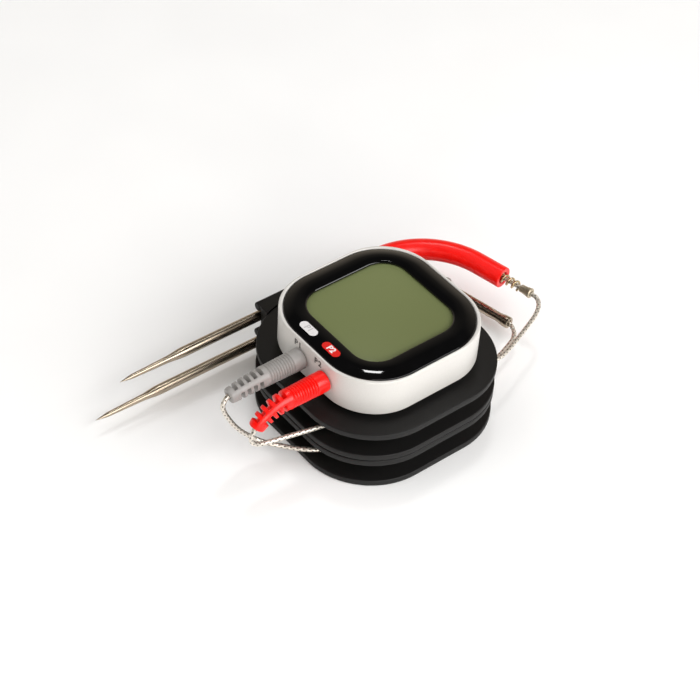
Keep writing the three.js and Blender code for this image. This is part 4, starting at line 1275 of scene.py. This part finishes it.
def press_slots(bm):
    """Moves the skin in towards the axis inside each slot."""
    for vert in bm.verts:
        distance = vert.co.y / MM
        radius = math.hypot(vert.co.x, vert.co.z) / MM
        if not PLUG_GRIP < distance < BEAD_START + 0.2 or radius < SLOT_FLOOR:
            continue
        angle = math.atan2(vert.co.z, vert.co.x)
        depth = 0
        for middle, offset in SLOT_ROWS:
            turn = abs(math.remainder(angle - middle, 2 * math.pi))
            spread = 1 - smooth_step(SLOT_SPREAD - 0.16, SLOT_SPREAD, turn)
            first = PLUG_GRIP + 1.6 + offset * SLOT_PITCH
            count = math.floor((distance - first) / SLOT_PITCH + 0.5)
            if not 0 <= count < 5 or first + count * SLOT_PITCH > BEAD_START - 0.9:
                continue
            away = abs(distance - first - count * SLOT_PITCH)
            inside = 1 - smooth_step(SLOT_WIDTH / 2 - SLOT_EDGE / 2, SLOT_WIDTH / 2 + SLOT_EDGE / 2, away)
            depth = max(depth, spread * inside)
        left = 1 - depth * (1 - SLOT_FLOOR / radius)
        vert.co.x *= left
        vert.co.z *= left


def boot(colour, rubber):
    """One plug's rubber boot, laid along its bend."""
    tail = PLUG_GRIP + PLUG_RELIEF
    cable_socket = tail - 3
    outer = [(boot_radius(distance), distance) for distance in along(0.5, tail - 0.9, 250)]
    rounding = [
        (RELIEF_END_RADIUS + 0.05 - 0.5 * (1 - math.cos(angle)), tail - 0.9 + 0.9 * math.sin(angle))
        for angle in along(0.3, math.pi / 2, 5)
    ]
    mouth = [(0, 0.9), (BOOT_BORE, 0.9), (BOOT_BORE, 0), (PLUG_RADIUS - 0.5, 0), (PLUG_RADIUS - 0.15, 0.12)]
    socket_radius = CABLE_RADIUS + GAP
    socket = [(socket_radius, tail), (socket_radius, cable_socket), (0, cable_socket)]
    profile = [*mouth, *outer, *rounding, *socket]
    bm = turned(profile, 96)
    press_slots(bm)
    laid_along(bm, plug_line(colour))
    piece(
        f"{colour}_boot_moulding", bm, rubber, f"{colour}_plug",
        [f"{colour}_plug_boot"], sharp=50,
    )


boot("grey", grey_silicone)
boot("red", red_silicone)

# %% Jack pins
PIN_RADIUS, PIN_LENGTH = 1.25, 11.0
PIN_ROOT, PIN_NECK, INSULATOR_RADIUS = 1.1, 0.85, 1.17


def jack_pin(colour):
    """A turned 2.5 mm jack: sleeve, insulating ring, neck and tip."""
    end = -CASE_HALF + PIN_LENGTH
    root = -CASE_HALF - PIN_ROOT
    profile = [
        (0, root), (PIN_RADIUS, root), (PIN_RADIUS, end - 4.2),
        (INSULATOR_RADIUS, end - 4.1), (INSULATOR_RADIUS, end - 3.6),
        (PIN_RADIUS, end - 3.5), (PIN_RADIUS, end - 3.0), (PIN_NECK, end - 2.4), (PIN_NECK, end - 2.1),
        (PIN_RADIUS, end - 1.5), (1.0, end - 0.7), (0.45, end - 0.1), (0, end),
    ]
    pin = moved(soften(turned(profile, 40), 0.05, 2), SOCKET_X[colour], 0, SOCKET_HEIGHT)
    piece(f"{colour}_jack_pin", pin, brass, f"{colour}_plug", [f"{colour}_plug_pin"])


jack_pin("grey")
jack_pin("red")

# %% [markdown]
# ## Probes
# A probe is a thin steel tube drawn down to a slimmer front and a point, and bent through about a right
# angle near its handle. It is turned straight, from a smooth profile, and then laid along its bent line.
# A silicone sleeve over the bend is the grip. The grey probe's tube is crimped on its cable with two
# dents. The red probe's sleeve ends in a small spring round the cable, then a crimped ferrule.

# %% Needles
POINT = [(0, 0), (0.1, 0.35), (0.9, 5.2)]
SLIM_END, SLIM_RADIUS, FULL_START = 19.5, 1.3, 28.5
GREY_BORE_DEPTH = 8


def needle_profile(end, cable_depth):
    """Point, slim front, smooth shoulder, full tube, and the cable's bore in its end."""
    radius, first = POINT[-1]
    rise, run = SLIM_RADIUS - radius, SLIM_END - first
    slim = [(radius + rise * share, first + run * share) for share in along(0.1, 1, 9)]
    rise, run = NEEDLE_RADIUS - SLIM_RADIUS, FULL_START - SLIM_END
    shoulder = [
        (SLIM_RADIUS + rise * smooth_step(0, 1, share), SLIM_END + run * share) for share in along(0.1, 1, 12)
    ]
    full = [(NEEDLE_RADIUS, distance) for distance in along(FULL_START + 2, end - 0.25, 160)]
    bore = CABLE_RADIUS + 0.35
    if cable_depth:
        finish = [(NEEDLE_RADIUS - 0.12, end), (bore + 0.12, end), (bore, end - 0.2)]
        finish += [(bore, end - cable_depth), (0, end - cable_depth)]
    else:
        finish = [(NEEDLE_RADIUS - 0.3, end), (0, end)]
    return POINT + slim + shoulder + full + finish


FLARE, FLARE_LENGTH = 0.2, 8.0
DENT_ANGLES = [math.radians(120), math.radians(-30)]
DENT_HALF_ANGLE, DENT_PLACE, DENT_HALF_LENGTH, DENT_DEPTH = 0.5, 6.0, 2.4, 0.34


def crimp(bm, end):
    """Flares the tube's end a little and presses two dents into it just before."""
    for vert in bm.verts:
        distance = vert.co.y / MM
        angle = math.atan2(vert.co.z, vert.co.x)
        radius = math.hypot(vert.co.x, vert.co.z) / MM
        if radius < NEEDLE_RADIUS - 0.2:
            continue
        left = 1 + FLARE * smooth_step(end - FLARE_LENGTH, end - 1, distance)
        for middle in DENT_ANGLES:
            turn = math.remainder(angle - middle, 2 * math.pi)
            reach = (turn / DENT_HALF_ANGLE) ** 2 + ((distance - end + DENT_PLACE) / DENT_HALF_LENGTH) ** 2
            left -= DENT_DEPTH * math.exp(-reach ** 2)
        vert.co.x *= left
        vert.co.z *= left


def needle(colour, end, cable_depth):
    """One probe's steel tube."""
    bm = turned(needle_profile(end, cable_depth), 48)
    if cable_depth:
        crimp(bm, end)
    laid_along(bm, probe_line(colour))
    piece(
        f"{colour}_steel_tube", bm, steel, f"{colour}_probe",
        [f"{colour}_probe_needle"], sharp=50,
    )


needle("red", RED_NEEDLE_END, 0)
needle("grey", PROBE_LENGTH, GREY_BORE_DEPTH)

# %% Sleeves
SLEEVE_RADIUS = 4.35
SLEEVE_BORE = NEEDLE_RADIUS + 0.35


def sleeve(colour, rubber):
    """The silicone grip over a probe's bend, open at both ends."""
    end = bend_end(colour) + PROBES[colour]["sleeve_end"]
    start = end - PROBES[colour]["sleeve"]
    outside = [(SLEEVE_RADIUS, distance) for distance in along(start + 0.5, end - 0.35, 70)]
    inside = [(SLEEVE_BORE, distance) for distance in along(end - 0.3, start + 0.3, 40)]
    rounded = [(SLEEVE_RADIUS - 0.1, end - 0.08), (SLEEVE_RADIUS - 0.35, end), (SLEEVE_BORE + 0.3, end)]
    first = (SLEEVE_RADIUS - 0.4, start)
    profile = [first, *outside, *rounded, *inside, (SLEEVE_BORE + 0.3, start), first]
    bm = laid_along(turned(profile, 64), probe_line(colour))
    piece(
        f"{colour}_grip_sleeve", bm, rubber, f"{colour}_probe",
        [f"{colour}_probe_sleeve"], sharp=50,
    )


sleeve("red", red_silicone)
sleeve("grey", grey_silicone)

# %% Spring and ferrule
SPRING_WIRE, SPRING_MEAN, SPRING_TURNS = 0.45, 1.65, 4


def spring():
    """A small open coil round the cable."""
    line = probe_line("red")
    start, end = RED_NEEDLE_END + GAP + SPRING_WIRE, FERRULE_START - GAP - SPRING_WIRE
    count = SPRING_TURNS * 24
    path = []
    for step, distance in enumerate(along(start, end, count)):
        point, normal, up = line(distance)
        angle = 2 * math.pi * SPRING_TURNS * step / count
        path.append(point + (normal * math.cos(angle) + up * math.sin(angle)) * SPRING_MEAN)
    coil = tube(path, SPRING_WIRE, 12)
    piece("red_coil_spring", coil, spring_steel, "red_probe", ["red_probe_spring"])


def ferrule():
    """A short tube crimped on the cable: a narrow throat that flares to a rolled rim."""
    start, end = FERRULE_START, FERRULE_START + FERRULE_LENGTH
    outer, throat, bore = FERRULE_RADIUS, FERRULE_RADIUS - 0.5, CABLE_RADIUS + GAP
    profile = [
        (bore, start), (throat - 0.15, start), (throat, start + 0.2), (throat, start + 1.2),
        (throat + 0.12, start + 2.4), (outer - 0.12, start + 3.8), (outer, end - 0.3), (outer - 0.2, end),
        (bore, end), (bore, start),
    ]
    bm = laid_along(turned(profile, 48), probe_line("red"))
    piece("red_crimp_ferrule", bm, nickel, "red_probe", ["red_probe_ferrule"])


spring()
ferrule()
